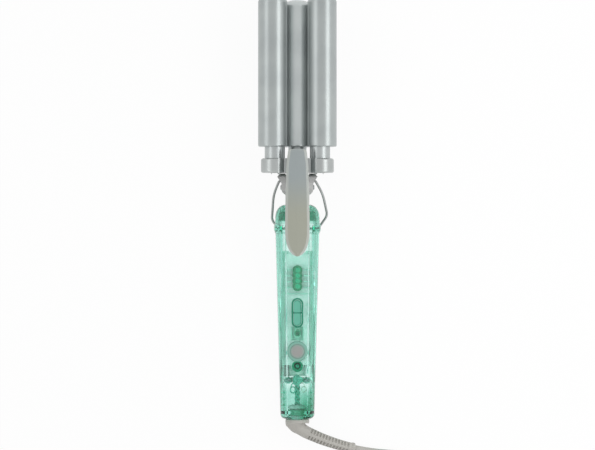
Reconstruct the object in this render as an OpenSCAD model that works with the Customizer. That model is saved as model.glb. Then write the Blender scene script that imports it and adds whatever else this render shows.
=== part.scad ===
// Three-barrel hair waver, lying on its back, with its tips towards +Y and its buttons towards +Z.
// The origin is on the surface it lies on, under the middle of its length. All sizes are in millimetres.

/* [Barrels] */
// Outside diameter of each barrel
barrel_d = 25; // [22:0.5:28]
// Straight length of the two front barrels
barrel_len = 123.5; // [90:0.5:150]
// Height of the domed tips
dome_h = 6; // [4:0.5:9]
// Wall of a barrel tube
barrel_wall = 1.2; // [0.8:0.1:1.8]
// Gap left for hair between a front barrel and the centre barrel
hair_gap = 1.5; // [1:0.1:3]
// Width of the slot between the two front barrels
pair_slot = 17.2; // [15:0.2:20]
// How much shorter the centre barrel is
centre_short = 2.8; // [0:0.2:6]
// Thickness of the floor that closes a barrel at its foot
barrel_floor = 2; // [1.5:0.1:3]

/* [Necks] */
// Outside diameter of the tube between a barrel and what carries it
neck_d = 17.3; // [15:0.1:18]
// Length of neck that shows
neck_len = 9.9; // [6:0.1:16]
// How far a front neck's axis lies inboard of its barrel's
neck_inset = 1.8; // [0:0.1:2.2]
// Depth that a neck is seated in its socket
neck_seat = 8; // [5:0.5:10]
// Wall of a neck
neck_wall = 2.2; // [1.6:0.1:3]

/* [Yoke] */
// Height of the yoke along the waver
yoke_h = 12.4; // [11:0.1:15]
// Wall of the yoke's sockets around the necks
socket_wall = 3.2; // [2.4:0.1:4]
// Thickness of the web between the sockets
web_t = 12.5; // [10:0.5:13]
// Distance from the web's back to the centre barrel's neck
web_gap = 1.2; // [0.8:0.1:2]
// How far the skirt hangs below the sockets
skirt_drop = 1.2; // [0.6:0.1:1.4]
// Half width of the flat where the lever lies
web_flat = 16.4; // [14:0.2:17]
// Wall left round the necks beside that flat
socket_skin = 1; // [0.8:0.1:1.2]

/* [Lever] */
// Width at the lever's top end
lever_top_w = 15.4; // [13:0.2:16]
// Width where the lever crosses the yoke
lever_mid_w = 18.8; // [17:0.2:20]
// Greatest width of the thumb tongue
lever_w = 20.8; // [19:0.2:24]
// How far the lever reaches above the yoke
lever_over = 7.7; // [4:0.1:9]
// Length of the tongue below the hinge pin
tongue_len = 58.8; // [50:0.2:62]
// Length of the tongue's rounded tip
tongue_tip = 20.6; // [15:0.2:26]
// Thickness of the tongue
tongue_t = 3.2; // [2.4:0.1:4]
// Width of the bevel along the lever's edges
lever_bevel = 2.2; // [1:0.1:3]
// How far the bevel falls
bevel_drop = 1.5; // [0.6:0.1:2]
// Height of the lever's top face above the yoke's web
lever_lift = 10.4; // [9:0.1:12]
// How much higher the tip stands than the lever's top face
tongue_rise = 6.8; // [5:0.2:9]
// Wall of the lever's skirt
lever_wall = 2; // [1.4:0.1:2.4]
// How far the skirt reaches below the handle's top
lever_skirt = 16; // [10:0.5:18]

/* [Hinge] */
// Diameter of the hinge pin
pin_d = 4; // [3:0.1:5]
// Height of the pin above the surface
pin_z = 22; // [21:0.1:23]
// Distance from the pin up to the bottom of the yoke's sockets
pin_to_yoke = 12.4; // [12:0.1:14]
// Thickness of each hinge lug
lug_t = 3.7; // [3:0.1:4]
// How far each end of the pin stands out
pin_end = 0.9; // [0.5:0.1:1.5]
// Wire of the jaw spring
spring_wire = 1.3; // [1:0.1:1.5]
// Turns of the jaw spring
spring_turns = 5; // [3:1:6]

/* [Neck housing] */
// Width of the head that carries the hinge
head_w = 27.4; // [26:0.2:29]
// Width across the flared rim
rim_w = 34.8; // [32:0.2:36]
// Height of the rim above the hinge pin
rim_h = 9.7; // [9.2:0.1:10]
// Height of the head below the hinge pin
head_drop = 5.7; // [5:0.1:7]
// Front of the head above the surface
head_front = 27.5; // [26.5:0.1:28.5]
// Back of the head above the surface
head_back = 3.6; // [2.5:0.1:5]
// Diameter of the round neck below the head
stem_d = 20.6; // [19:0.1:22]
// Distance from the handle's top to the hinge pin
stem_rise = 14.6; // [13.5:0.1:18]
// Thickness of the dark heat shield on the rim
shield_t = 1; // [0.8:0.1:1.2]
// How far the shield's lip reaches in under the yoke
shield_lip = 1.2; // [0.6:0.1:1.3]

/* [Stand] */
// Diameter of the stand's wire
wire_d = 2.1; // [1.8:0.1:2.4]
// Distance from the hinge pin up to the stand's pivot
stand_up = 5.5; // [4.5:0.1:6]
// Distance from the handle's top down to the folded crossbar
stand_down = 20.6; // [20:0.1:26]
// Greatest width of the loop, middle to middle
loop_w = 48; // [46:0.5:54]
// How far the sprung loop leans to one side
loop_lean = 1.9; // [0:0.1:2.4]
// Width of the crossbar, corner to corner
cross_w = 34; // [30:0.5:38]
// Depth that the wire's ends go into the head
wire_in = 2.9; // [2:0.1:3.2]

/* [Handle] */
// Length of the handle
handle_len = 184; // [170:1:200]
// Width at the collar
collar_w = 40.2; // [39:0.2:42]
// Width of the grip below the collar
grip_w = 37.6; // [36:0.2:38.5]
// Width at the lower end
end_w = 29.2; // [27:0.2:31]
// Height of the handle's axis above the surface
axis_z = 14.6; // [14:0.1:15]
// Height of the front face at the top of the grip
front_top = 30.3; // [29:0.1:31]
// Height of the front face at the lower end
front_end = 26; // [25:0.1:27]
// Wall of the shells
wall = 2.4; // [1.8:0.1:2.8]
// Length of the rounded shoulder
shoulder = 10.6; // [9:0.1:13]
// Length of the collar's raised band
collar_band = 5.2; // [4:0.1:7]
// Radius at the lower end's edge
end_round = 4; // [3:0.2:5]
// Height of the lip where the shells meet
lip_h = 1.4; // [1:0.1:2]

/* [Controls] */
// Diameter of the power button
button_d = 17.4; // [14:0.2:18]
// Width of the power button's rim
button_rim = 2.6; // [1.6:0.1:3.2]
// Distance from the inner frame's bottom to the power button
button_up = 11.9; // [11:0.1:15]
// How far the power button stands proud
button_proud = 1.4; // [1:0.1:2]
// Travel of the power button
button_travel = 0.8; // [0.5:0.1:0.9]
// Length of the temperature rocker
rocker_l = 22.6; // [18:0.2:24]
// Width of the temperature rocker
rocker_w = 7; // [6:0.2:8]
// Distance from the inner frame's bottom to the rocker's middle
rocker_up = 44.9; // [42:0.1:47]
// Width of the bezel around the rocker
bezel_w = 1.5; // [1:0.1:2]
// Tilt of the rocker each way
rocker_tilt = 3; // [2:0.5:4]
// Diameter of each lobe of the light guide
lobe_d = 8.4; // [7:0.2:9]
// Lobes of the light guide
lobes = 4; // [3:1:5]
// Distance between the lobes
lobe_pitch = 4.6; // [4:0.1:5]
// Distance from the inner frame's bottom to the light guide's middle
guide_up = 74.5; // [73:0.1:77]

/* [Inside the handle] */
// Width of the inner frame
frame_w = 24; // [22:0.2:25]
// How far the inner frame reaches past the light guide's middle
frame_over = 22.1; // [20:0.1:24]
// Distance from the lower end to the inner frame's bottom
frame_up = 46.4; // [45:0.1:50]
// Thickness of the inner frame's walls
frame_t = 1.4; // [1:0.1:1.8]
// Thickness of the front shell's long ribs beside the frame
rib_t = 0.9; // [0.7:0.1:1.2]
// Thickness of the circuit board
board_t = 1.6; // [1:0.1:2]
// Height of the circuit board's back above the surface
board_z = 12.2; // [11:0.1:13]
// Distance from the lower end to the main screw boss
boss_up = 45.5; // [43:0.1:47]
// Diameter of the screw bosses
boss_d = 9.6; // [8:0.2:10]
// Distance from the lower end to the cord clamp
clamp_up = 33.4; // [31:0.1:35]
// Distance from the middle to each clamp screw
clamp_x = 7.6; // [7:0.1:8.5]

/* [Swivel and cord] */
// Diameter of the swivel's journal
journal_d = 12; // [10:0.2:13]
// Length of the swivel ring
ring_l = 5; // [4:0.2:7]
// Diameter of the elbow outside the handle
elbow_d = 20.4; // [17:0.2:20.6]
// Diameter of the cord
cord_d = 6; // [5.5:0.1:6.5]
// Ribs on the strain relief
relief_ribs = 13; // [10:1:15]
// Turns that lie side by side in the coil's lower layer
coil_turns = 4; // [3:1:5]
// Clear radius in the middle of the coil
coil_hole = 21; // [18:0.5:24]
// Thickness of the plug
plug_t = 18; // [16:0.5:20]

/* [Fits] */
// Radial clearance of a running fit
run_fit = 0.06; // [0.02:0.01:0.1]
// Clearance between seated pieces
seat_fit = 0.1; // [0.05:0.01:0.2]
// Clearance between moving pieces that don't touch
free_gap = 0.4; // [0.3:0.05:0.6]

/* [Hidden] */
$fn = 64;

// Stations along Y, worked out from the lengths so that the waver is centred on the origin
overall_len = handle_len + stem_rise + pin_to_yoke + yoke_h + neck_len + barrel_len + dome_h;
end_y = -overall_len / 2;
top_y = end_y + handle_len;
pin_y = top_y + stem_rise;
yoke_y = pin_y + pin_to_yoke;
yoke_top = yoke_y + yoke_h;
barrel_y = yoke_top + neck_len;
dome_y = barrel_y + barrel_len;
rim_y = pin_y + rim_h;
head_y = pin_y - head_drop;
shield_y = rim_y + seat_fit;
shield_top = shield_y + shield_t;
flange_y = top_y - 3.2;
flange_t = 3;
stand_y = pin_y + stand_up;
cross_y = top_y - stand_down;
collar_y = top_y - shoulder - 7;
grip_y = collar_y - collar_band - 2.6;

// Places across X and Z
barrel_r = barrel_d / 2;
neck_r = neck_d / 2;
pair_x = (pair_slot + barrel_d) / 2;
centre_z = barrel_r;
pair_z = centre_z + sqrt(pow(barrel_d + hair_gap, 2) - pow(pair_x, 2));
neck_x = pair_x - neck_inset;
centre_neck_r = neck_r - 0.8;
socket_r = neck_r + socket_wall;
web_back = centre_z + centre_neck_r + web_gap;
web_front = web_back + web_t;
web_y = yoke_y + 0.6;
lever_z = web_front + lever_lift;
tip_z = lever_z + tongue_rise;
lever_y = yoke_top + lever_over;
tip_y = pin_y - tongue_len;
lug_out = head_w / 2 - 4.2;
lug_wall = 2.6;
lug_z0 = pin_z - pin_d / 2 - lug_wall;
lead_hole_r = 3.2;
slot_w = 2 * (lug_out + free_gap);
slot_z = pin_z - 8.6;
stand_r = wire_d / 2;
stand_z = axis_z;
cross_z = stand_r + 0.3;
stand_reach = sqrt(pow(stand_y - cross_y, 2) + pow(stand_z - cross_z, 2));
stand_tilt = asin((stand_z - cross_z) / stand_reach);
collar_r = collar_w / 2;
grip_r = grip_w / 2;
end_r = end_w / 2;

// Places on the handle
boss_r = boss_d / 2;
frame_y = end_y + frame_up;
button_y = frame_y + button_up;
rocker_y = frame_y + rocker_up;
guide_y = frame_y + guide_up;
frame_top = guide_y + frame_over;
boss_y = end_y + boss_up;
clamp_y = end_y + clamp_up;
clamp_half = 2.1;
clamp_top = board_z + 1.4;
clamp_z = board_z - 2;
upper_boss_y = frame_top + boss_r + 3.8;
ring_y = end_y + 3.2;
recess_y = cross_y - stand_r - 0.9;
recess_z = cross_z + stand_r + 0.65;
screw_r = 1.5;
screw_head_r = 2.9;
screw_head_h = 2;
screw_z = 3.4;
post_r = 2.9;
journal_r = journal_d / 2;
ring_r = min(side_r(ring_y) - wall - 1.4, front_z(ring_y) - wall - axis_z - seat_fit);
journal_top = ring_y + ring_l + free_gap;

// Heights inside the handle: the board, the switches on it and the frame's shelf over them
board_top = board_z + board_t;
board_half = frame_w / 2 - 0.8;
board_y0 = clamp_y + post_r + 0.3;
board_y1 = frame_top - 4;
boss_meet_z = board_top + 0.3;
shelf_z = board_top + 4.6;
shelf_top = shelf_z + frame_t;
switch_h = 3;
switch_top = board_top + switch_h;
rib_x = frame_w / 2 + seat_fit;
seam_top = axis_z + lip_h + 2 * seat_fit;
bay_y1 = frame_y - free_gap;
bay_mid = (board_y0 + bay_y1) / 2;

// Heights of the front face at the controls
button_r = button_d / 2;
button_z = front_z(button_y);
button_dish = 0.8;
rocker_z = front_z(rocker_y);
rocker_pivot = rocker_z - 1;
rocker_pin_r = 0.7;
rocker_end = (rocker_l - rocker_w) / 2;
shroud_y = (button_y + button_r + rocker_y - rocker_l / 2) / 2;
shroud_half = (rocker_y - rocker_l / 2 - button_y - button_r) / 2 - 0.8;
rocker_keys = [rocker_y - rocker_end, rocker_y + rocker_end];
guide_top = front_z(guide_y) - wall - 1.5;
lobe_y = [for (i = [0:lobes - 1]) guide_y + (i - (lobes - 1) / 2) * lobe_pitch];
lamp_r = 1.6;
guide_stem_r = 1.6;
chip_y = (lobe_y[lobes - 1] + lamp_r + board_y1) / 2;

// Stations of the heaters and of the lever
heater_y0 = barrel_y + barrel_floor + 8;
heater_y1 = dome_y - centre_short - 12;
heater_slot = 5;
plate_t = 2.4;
plates_y = heater_y0 + 2;
screw_gap = 5;
screw_bite = 3.5;
tip_mid = tip_y + tongue_tip;

// Height of the handle's front face and radius of its side at a station
function front_z(y) = front_end + (front_top - front_end) * (y - end_y) / (grip_y - end_y);
function side_r(y) = end_r + (grip_r - end_r) * (y - end_y) / (grip_y - end_y);

// The cord's route from the swivel: out of the elbow, down to the surface and round to the coil
cord_start = [0, end_y, axis_z];
cord_r = cord_d / 2;
elbow_r = elbow_d / 2;
cord_route = [[0, -0.5, 0], [0, -2, 0], [0, -4, 0], [1.4, -7.2, 0], [6, -10.8, -0.2], [13.5, -14.4, -0.8],
    [22, -18, -1.8], [31, -21.2, -3.2], [40, -24, -4.9], [49, -26.2, -6.8], [58, -28, -8.7],
    [68, -29.6, -10.4], [80, -30.8, -11.6]];
relief_end = 9;
tube_start = 5;

// The coil starts where the route ends, with the plug beside it on the tail from its upper layer
coil_r = coil_hole + coil_turns * cord_d;
route_end = cord_start + cord_route[len(cord_route) - 1];
coil_mid = [route_end[0], route_end[1] - coil_r + cord_r, 0];
plug_y = coil_mid[1] - coil_r + 3 * cord_r;
plug_z = plug_t / 2;
plug_x = coil_mid[0] - coil_r - 2;
plug_boot = 14;
plug_cone = 8;
plug_l = 26;

// ---- shared shapes -------------------------------------------------------------------------

// Lays a shape drawn along Z down along Y
module along_y() {
    rotate([-90, 0, 0]) children();
}

// Lays a shape drawn along Z down along X
module along_x() {
    rotate([0, 90, 0]) children();
}

// Revolves a profile of [radius, y] points about a line along Y
module turned(x, z, profile) {
    translate([x, 0, z]) along_y() rotate_extrude() polygon(profile);
}

// A round bar along Y from one station to another
module bar_y(x, z, y0, y1, r) {
    translate([x, y0, z]) along_y() cylinder(h = y1 - y0, r = r);
}

// A box between two corners
module span(a, b) {
    translate(a) cube(b - a);
}

// A side profile of [y, z] points, extruded across X
module side_plate(profile, x0, x1) {
    translate([x0, 0, 0]) rotate([90, 0, 90]) linear_extrude(x1 - x0) polygon(profile);
}

// A front outline of [x, y] points, extruded from z0 to z1
module front_plate(outline, z0, z1) {
    translate([0, 0, z0]) linear_extrude(z1 - z0) polygon(outline);
}

module both_sides() {
    children();
    mirror([1, 0, 0]) children();
}

// Points on an elliptic arc
function bow(c, rx, ry, a0, a1, n) = [for (i = [0:n])
    let (a = a0 + (a1 - a0) * i / n) c + [rx * cos(a), ry * sin(a)]];
function unit(v) = v / norm(v);
function last(v) = len(v) - 1;
function flip_x(pts) = [for (i = [last(pts):-1:0]) [-pts[i][0], pts[i][1]]];
function mix(a, b, t) = a * (1 - t) + b * t;

// An outline with each corner replaced by a curve that starts the given length before it
function softened(pts, cut, n = 5) = [for (i = [0:last(pts)])
    let (p = pts[i], a = pts[(i + last(pts)) % len(pts)], b = pts[(i + 1) % len(pts)],
        c = is_list(cut) ? cut[i] : cut,
        d = min(c, norm(a - p) * 0.48, norm(b - p) * 0.48),
        s = p + unit(a - p) * d, e = p + unit(b - p) * d)
    each c == 0 ? [p] : [for (k = [0:n]) let (t = k / n) mix(mix(s, p, t), mix(p, e, t), t)]];

// A smooth line through points
function smooth_at(p, i, t) = let (a = p[max(i - 1, 0)], b = p[i], c = p[i + 1], d = p[min(i + 2, last(p))])
    0.5 * (2 * b + (c - a) * t + (2 * a - 5 * b + 4 * c - d) * t * t + (3 * b - a - 3 * c + d) * t * t * t);
function along(p, u) = let (i = min(floor(u), last(p) - 1)) smooth_at(p, i, u - i);
function part_of(v, a, b) = [for (i = [a:b]) v[i]];
function smoothed(p, n) = concat([for (i = [0:last(p) - 1]) for (k = [0:n - 1]) smooth_at(p, i, k / n)],
    [p[last(p)]]);

// A tube swept along a line, with one radius or one for each ring
function line_dir(p) = [for (i = [0:last(p)]) unit(p[min(i + 1, last(p))] - p[max(i - 1, 0)])];
function carried(t, n, i = 0) = i > last(t) ? []
    : let (m = unit(n - t[i] * (n * t[i]))) concat([m], carried(t, m, i + 1));
module sweep(p, r, sides, up = [0, 0, 1]) {
    t = line_dir(p);
    n = carried(t, up);
    rings = [for (i = [0:last(p)]) for (k = [0:sides - 1])
        let (a = 360 * k / sides, q = is_list(r) ? r[i] : r)
        p[i] + q * (cos(a) * n[i] + sin(a) * cross(t[i], n[i]))];
    walls = [for (i = [0:last(p) - 1]) for (k = [0:sides - 1])
        let (m = (k + 1) % sides) [(i + 1) * sides + k, (i + 1) * sides + m, i * sides + m, i * sides + k]];
    caps = [[for (k = [0:sides - 1]) k], [for (k = [sides - 1:-1:0]) last(p) * sides + k]];
    polyhedron(rings, concat(walls, caps));
}

// A bent line in the XY plane: each corner becomes an arc of its own radius, and a radius of 0 is an end
function turned_by(v, a) = [v[0] * cos(a) - v[1] * sin(a), v[0] * sin(a) + v[1] * cos(a)];
function bent_line(p, bend, n) = [for (i = [0:last(p)]) each bend[i] == 0 ? [p[i]]
    : let (u = unit(p[i - 1] - p[i]), v = unit(p[i + 1] - p[i]), half = acos(u * v) / 2,
        c = p[i] + unit(u + v) * bend[i] / sin(half), s = p[i] + u * bend[i] / tan(half) - c,
        way = u[0] * v[1] - u[1] * v[0] > 0 ? -1 : 1)
    [for (k = [0:n]) c + turned_by(s, way * (180 - 2 * half) * k / n)]];

// ---- barrels, necks and heaters ------------------------------------------------------------

// Radius profile of a barrel, held in by the given amount
function barrel_profile(y0, y1, inset) = let (r = barrel_r - inset, foot = inset > 0 ? 0 : 1.3)
    concat([[0, y0], [r - foot, y0]], foot > 0 ? bow([r - foot, y0 + foot], foot, foot, -60, 0, 3) : [],
        bow([0, y1], r, dome_h - inset, 0, 90, 10));

module barrel(x, z, y1, foot_x) {
    color("silver") difference() {
        turned(x, z, barrel_profile(barrel_y, y1, 0));
        turned(x, z, barrel_profile(barrel_y + barrel_floor, y1, barrel_wall));
        bar_y(foot_x, z, barrel_y - 1, barrel_y + barrel_floor + 1,
            (x == 0 ? centre_neck_r : neck_r) + seat_fit);
    }
}

module left_barrel() {
    barrel(-pair_x, pair_z, dome_y, -neck_x);
}

module right_barrel() {
    barrel(pair_x, pair_z, dome_y, neck_x);
}

module centre_barrel() {
    barrel(0, centre_z, dome_y - centre_short, 0);
}

// A hollow neck with a foot that sits in its socket
module neck(x, z, r, y0) {
    color("silver") difference() {
        bar_y(x, z, y0, barrel_y + barrel_floor, r);
        bar_y(x, z, y0 - 1, barrel_y + barrel_floor + 1, r - neck_wall);
    }
}

module left_neck() {
    neck(-neck_x, pair_z, neck_r, yoke_top - neck_seat);
}

module right_neck() {
    neck(neck_x, pair_z, neck_r, yoke_top - neck_seat);
}

module centre_neck() {
    neck(0, centre_z, centre_neck_r, shield_top + seat_fit);
}

// Two clamp halves that press the heater plates against the barrel's wall
module heater_clamp(x, z) {
    color("gainsboro") difference() {
        bar_y(x, z, heater_y0, heater_y1, barrel_r - barrel_wall - seat_fit);
        span([x - barrel_r, heater_y0 - 1, z - heater_slot / 2],
            [x + barrel_r, heater_y1 + 1, z + heater_slot / 2]);
        for (side = [-1, 1])
            bar_y(x, z + side * barrel_r * 0.62, heater_y0 - 1, heater_y1 + 1, 2.2);
    }
}

// Ceramic plates in a row between two electrodes
module heater_plates(x, z) {
    plates = 4;
    pitch = (heater_y1 - heater_y0 - 4) / plates;
    half_w = 7;
    color("white") for (i = [0:plates - 1])
        span([x - half_w, plates_y + i * pitch, z - plate_t / 2],
            [x + half_w, plates_y + (i + 1) * pitch - 1, z + plate_t / 2]);
    color("goldenrod") for (side = [-1, 1])
        translate([0, 0, side * (plate_t + heater_slot) / 4])
            span([x - half_w, heater_y0 + 1, z - (heater_slot - plate_t) / 4 + seat_fit / 2],
                [x + half_w, heater_y1 - 1, z + (heater_slot - plate_t) / 4 - seat_fit / 2]);
}

module left_heater_clamp() {
    heater_clamp(-pair_x, pair_z);
}

module right_heater_clamp() {
    heater_clamp(pair_x, pair_z);
}

module centre_heater_clamp() {
    heater_clamp(0, centre_z);
}

module left_heater_plates() {
    heater_plates(-pair_x, pair_z);
}

module right_heater_plates() {
    heater_plates(pair_x, pair_z);
}

module centre_heater_plates() {
    heater_plates(0, centre_z);
}

// Fuse in the centre barrel's foot, with its two tails
module thermal_fuse() {
    fuse_y = barrel_y - 7;
    color("peru") turned(0, centre_z, [[0, fuse_y - 6], [0.5, fuse_y - 6], [0.5, fuse_y],
        [2, fuse_y + 0.6], [2, fuse_y + 9], [0.5, fuse_y + 9.6], [0.5, plates_y - seat_fit],
        [0, plates_y - seat_fit]]);
}

// Lead pairs from the heaters, down through the necks into the yoke
module jaw_leads() {
    lead_r = 0.9;
    color("ivory") both_sides() for (k = [-1, 1])
        bar_y(neck_x + k * 2, pair_z, yoke_top - neck_seat + 1, plates_y - seat_fit, lead_r);
}

// ---- yoke and lever ------------------------------------------------------------------------

module yoke() {
    foot_round = 1.6;
    top_round = 2;
    lug_half = pin_d / 2 + lug_wall;
    skirt_in = 5;
    skirt_out = 3;
    socket = concat([[0, yoke_y], [socket_r - foot_round, yoke_y]],
        bow([socket_r - foot_round, yoke_y + foot_round], foot_round, foot_round, -60, 0, 4),
        bow([socket_r - top_round, yoke_top - top_round], top_round, top_round, 0, 90, 5), [[0, yoke_top]]);
    color("darkgray") difference() {
        union() {
            both_sides() turned(neck_x, pair_z, socket);
            span([-neck_x, web_y, web_back], [neck_x, yoke_top, web_front]);
            both_sides() span([neck_x - skirt_in, yoke_y - skirt_drop, web_back + 3],
                [neck_x + skirt_out, yoke_y + 3, pair_z + neck_r / 2]);
            both_sides() side_plate(softened([[pin_y - lug_half, lug_z0], [pin_y + lug_half, lug_z0],
                [web_y + 3, web_back + 1], [web_y + 3, web_front], [web_y - 3, web_front],
                [pin_y - lug_half, pin_z + 5]], [3, 3, 0, 0, 2, 3]), lug_out - lug_t, lug_out);
        }
        both_sides() difference() {
            span([-1, yoke_y - 6, web_front], [web_flat, yoke_top + 1, pair_z + socket_r + 1]);
            bar_y(neck_x, pair_z, yoke_y - 7, yoke_top + 2, neck_r + socket_skin);
        }
        both_sides() bar_y(neck_x, pair_z, yoke_top - neck_seat, yoke_top + 1, neck_r + seat_fit);
        both_sides() bar_y(neck_x, pair_z, yoke_y - skirt_drop - 1, yoke_top, neck_r - neck_wall - 1.5);
        translate([-head_w, pin_y, pin_z]) along_x() cylinder(h = 2 * head_w, r = pin_d / 2 + run_fit);
        lever_screw_holes(screw_r + seat_fit, web_front + 1);
    }
}

module lever_screw_holes(r, top) {
    for (k = [-1, 1]) translate([k * screw_gap, (web_y + yoke_top) / 2, web_back - 1])
        cylinder(h = top - web_back + 1, r = r);
}

// Half width of the lever at each station, down to where its tip begins
lever_half = [[lever_top_w / 2, lever_y], [lever_mid_w / 2, yoke_top - 6], [lever_w / 2 - 0.2, top_y],
    [lever_w / 2, tip_mid + 8], [lever_w / 2, tip_mid]];

// Front outline of the lever, held in by the given amount
function lever_outline(inset) = let (right = concat([for (p = [0:2]) [lever_half[p][0] - inset,
        lever_half[p][1] - (p == 0 ? inset : 0)]], [[lever_w / 2 - inset, lever_half[3][1]]],
        bow([0, tip_mid], lever_w / 2 - inset, tongue_tip - inset, 0, -90, 12)))
    softened(concat(right, [for (i = [last(right) - 1:-1:0]) [-right[i][0], right[i][1]]]), 2.2, 3);

// Height of the lever's front face at stations from its top to its tip
lever_face = smoothed([[lever_y, lever_z - 1.6], [lever_y - 5, lever_z - 0.3], [yoke_top - 6, lever_z],
    [yoke_y - 2, lever_z + 0.3], [pin_y - 4, lever_z + 1], [top_y - 12, lever_z + 3],
    [mix(top_y, tip_y, 0.66), tip_z - 1.7], [tip_y, tip_z]], 3);

// Half width of the lever at a station, with round corners at its top and an elliptic tip
function lever_half_at(y) = let (c = 2.2, over = max(0, y - lever_y + c), low = (tip_mid - y) / tongue_tip)
    low > 0 ? lever_w / 2 * sqrt(max(0, 1 - low * low))
    : lookup(y, [for (i = [last(lever_half):-1:0]) [lever_half[i][1], lever_half[i][0]]])
        - c + sqrt(c * c - over * over);

// Height of the lever's middle line at a station
function lever_face_at(y) = lookup(y, [for (i = [last(lever_face):-1:0]) lever_face[i]]);

// Solid under the lever's crowned and bevelled face, lofted from its top to its tip
module lever_crown(z0) {
    top_ys = [lever_y, lever_y - 0.2, lever_y - 0.8, lever_y - 2.2];
    body_n = 14;
    tip_n = 11;
    ys = concat(top_ys, [for (i = [1:body_n]) mix(lever_y - 2.2, tip_mid, i / body_n)],
        [for (i = [1:tip_n]) tip_mid - tongue_tip * sin(90 * i / (tip_n + 0.4))]);
    rings = [for (y = ys) let (w = lever_half_at(y), z = lever_face_at(y), b = min(lever_bevel, 0.5 * w),
            d = bevel_drop * b / lever_bevel)
        each [for (q = [[-w, z0], [-w, z - 1.15 * d], [-w + 0.3 * b, z - 0.62 * d], [-w + b, z - 0.16 * d],
            [0, z], [w - b, z - 0.16 * d], [w - 0.3 * b, z - 0.62 * d], [w, z - 1.15 * d], [w, z0]])
            [q[0], y, q[1]]]];
    n = 9;
    walls = [for (i = [0:last(ys) - 1]) for (k = [0:n - 1]) let (m = (k + 1) % n)
        [i * n + k, i * n + m, (i + 1) * n + m, (i + 1) * n + k]];
    caps = [[for (k = [n - 1:-1:0]) k], [for (k = [0:n - 1]) last(ys) * n + k]];
    polyhedron(rings, concat(walls, caps));
}

module thumb_lever() {
    seat_z = web_front + seat_fit;
    skirt_end = top_y - lever_skirt;
    above = [for (p = lever_face) p + [0, 1]];
    under = [for (i = [last(lever_face):-1:0]) lever_face[i] - [0, tongue_t]];
    color("darkgray") difference() {
        intersection() {
            lever_crown(seat_z - 1);
            union() {
                side_plate(concat(above, under), -lever_w, lever_w);
                side_plate([[yoke_top - 0.6, seat_z], [yoke_top - 0.6, lever_z - 1],
                    [skirt_end, lever_z + 0.5],
                    [skirt_end - 6, lever_z + 0.6], [head_y - 4, seat_z + 0.5], [web_y, seat_z]],
                    -lever_w, lever_w);
            }
        }
        difference() {
            intersection() {
                front_plate(lever_outline(lever_wall), seat_z - 2, tip_z);
                side_plate(concat([[web_y - 0.5, 0]],
                    [for (p = under) if (p[0] < web_y - 0.5 && p[0] > tip_y + 1) p],
                    [[web_y - 0.5, lever_z + 0.3 - tongue_t], [web_y - 0.5, lever_z - tongue_t]]),
                    -lever_w, lever_w);
            }
            span([-spring_slot, spring_tip_y - 1.6, spring_tip_z],
                [spring_slot, spring_tip_y + 1.6, lever_z + 5]);
        }
        lever_screw_holes(screw_r, web_front + screw_bite + 0.3);
    }
}

// Two screws that hold the lever on the yoke from behind
module lever_screws() {
    head_h = 1.1;
    color("dimgray") {
        lever_screw_holes(screw_r, web_front + screw_bite);
        for (k = [-1, 1]) translate([k * screw_gap, (web_y + yoke_top) / 2, web_back - head_h])
            cylinder(h = head_h - 0.05, r = screw_r + 1.2);
    }
}

// ---- hinge and neck housing ----------------------------------------------------------------

module hinge_pin() {
    half = head_w / 2 + pin_end;
    color("dimgray") translate([0, pin_y, pin_z]) along_x() rotate_extrude()
        polygon([[0, -half], [pin_d / 2 - 0.5, -half], [pin_d / 2, -half + 0.5], [pin_d / 2, half - 0.5],
            [pin_d / 2 - 0.5, half], [0, half]]);
}

// Coil round the pin, with one leg on the housing and one under the lever
spring_tip_y = head_y - 6;
spring_tip_z = web_front + 1;
spring_slot = 5.6;
module jaw_spring() {
    spring_r = pin_d / 2 + spring_wire / 2 + 0.7;
    width = spring_turns * (spring_wire + 0.15);
    steps = 16;
    turns = spring_turns * steps + 6;
    coil = [for (i = [0:turns]) let (a = -90 - 360 * i / steps)
        [width * (i / turns - 0.5), pin_y + spring_r * cos(a), pin_z + spring_r * sin(a)]];
    foot = [coil[0][0], head_y - 4, slot_z + spring_wire / 2 + 0.05];
    tip = [coil[turns][0], spring_tip_y, spring_tip_z - spring_wire / 2 - 0.05];
    color("silver") sweep(concat([foot, mix(foot, coil[0], 0.5)], coil, [mix(coil[turns], tip, 0.5), tip]),
        spring_wire / 2, 8, [1, 0, 0]);
}

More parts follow.
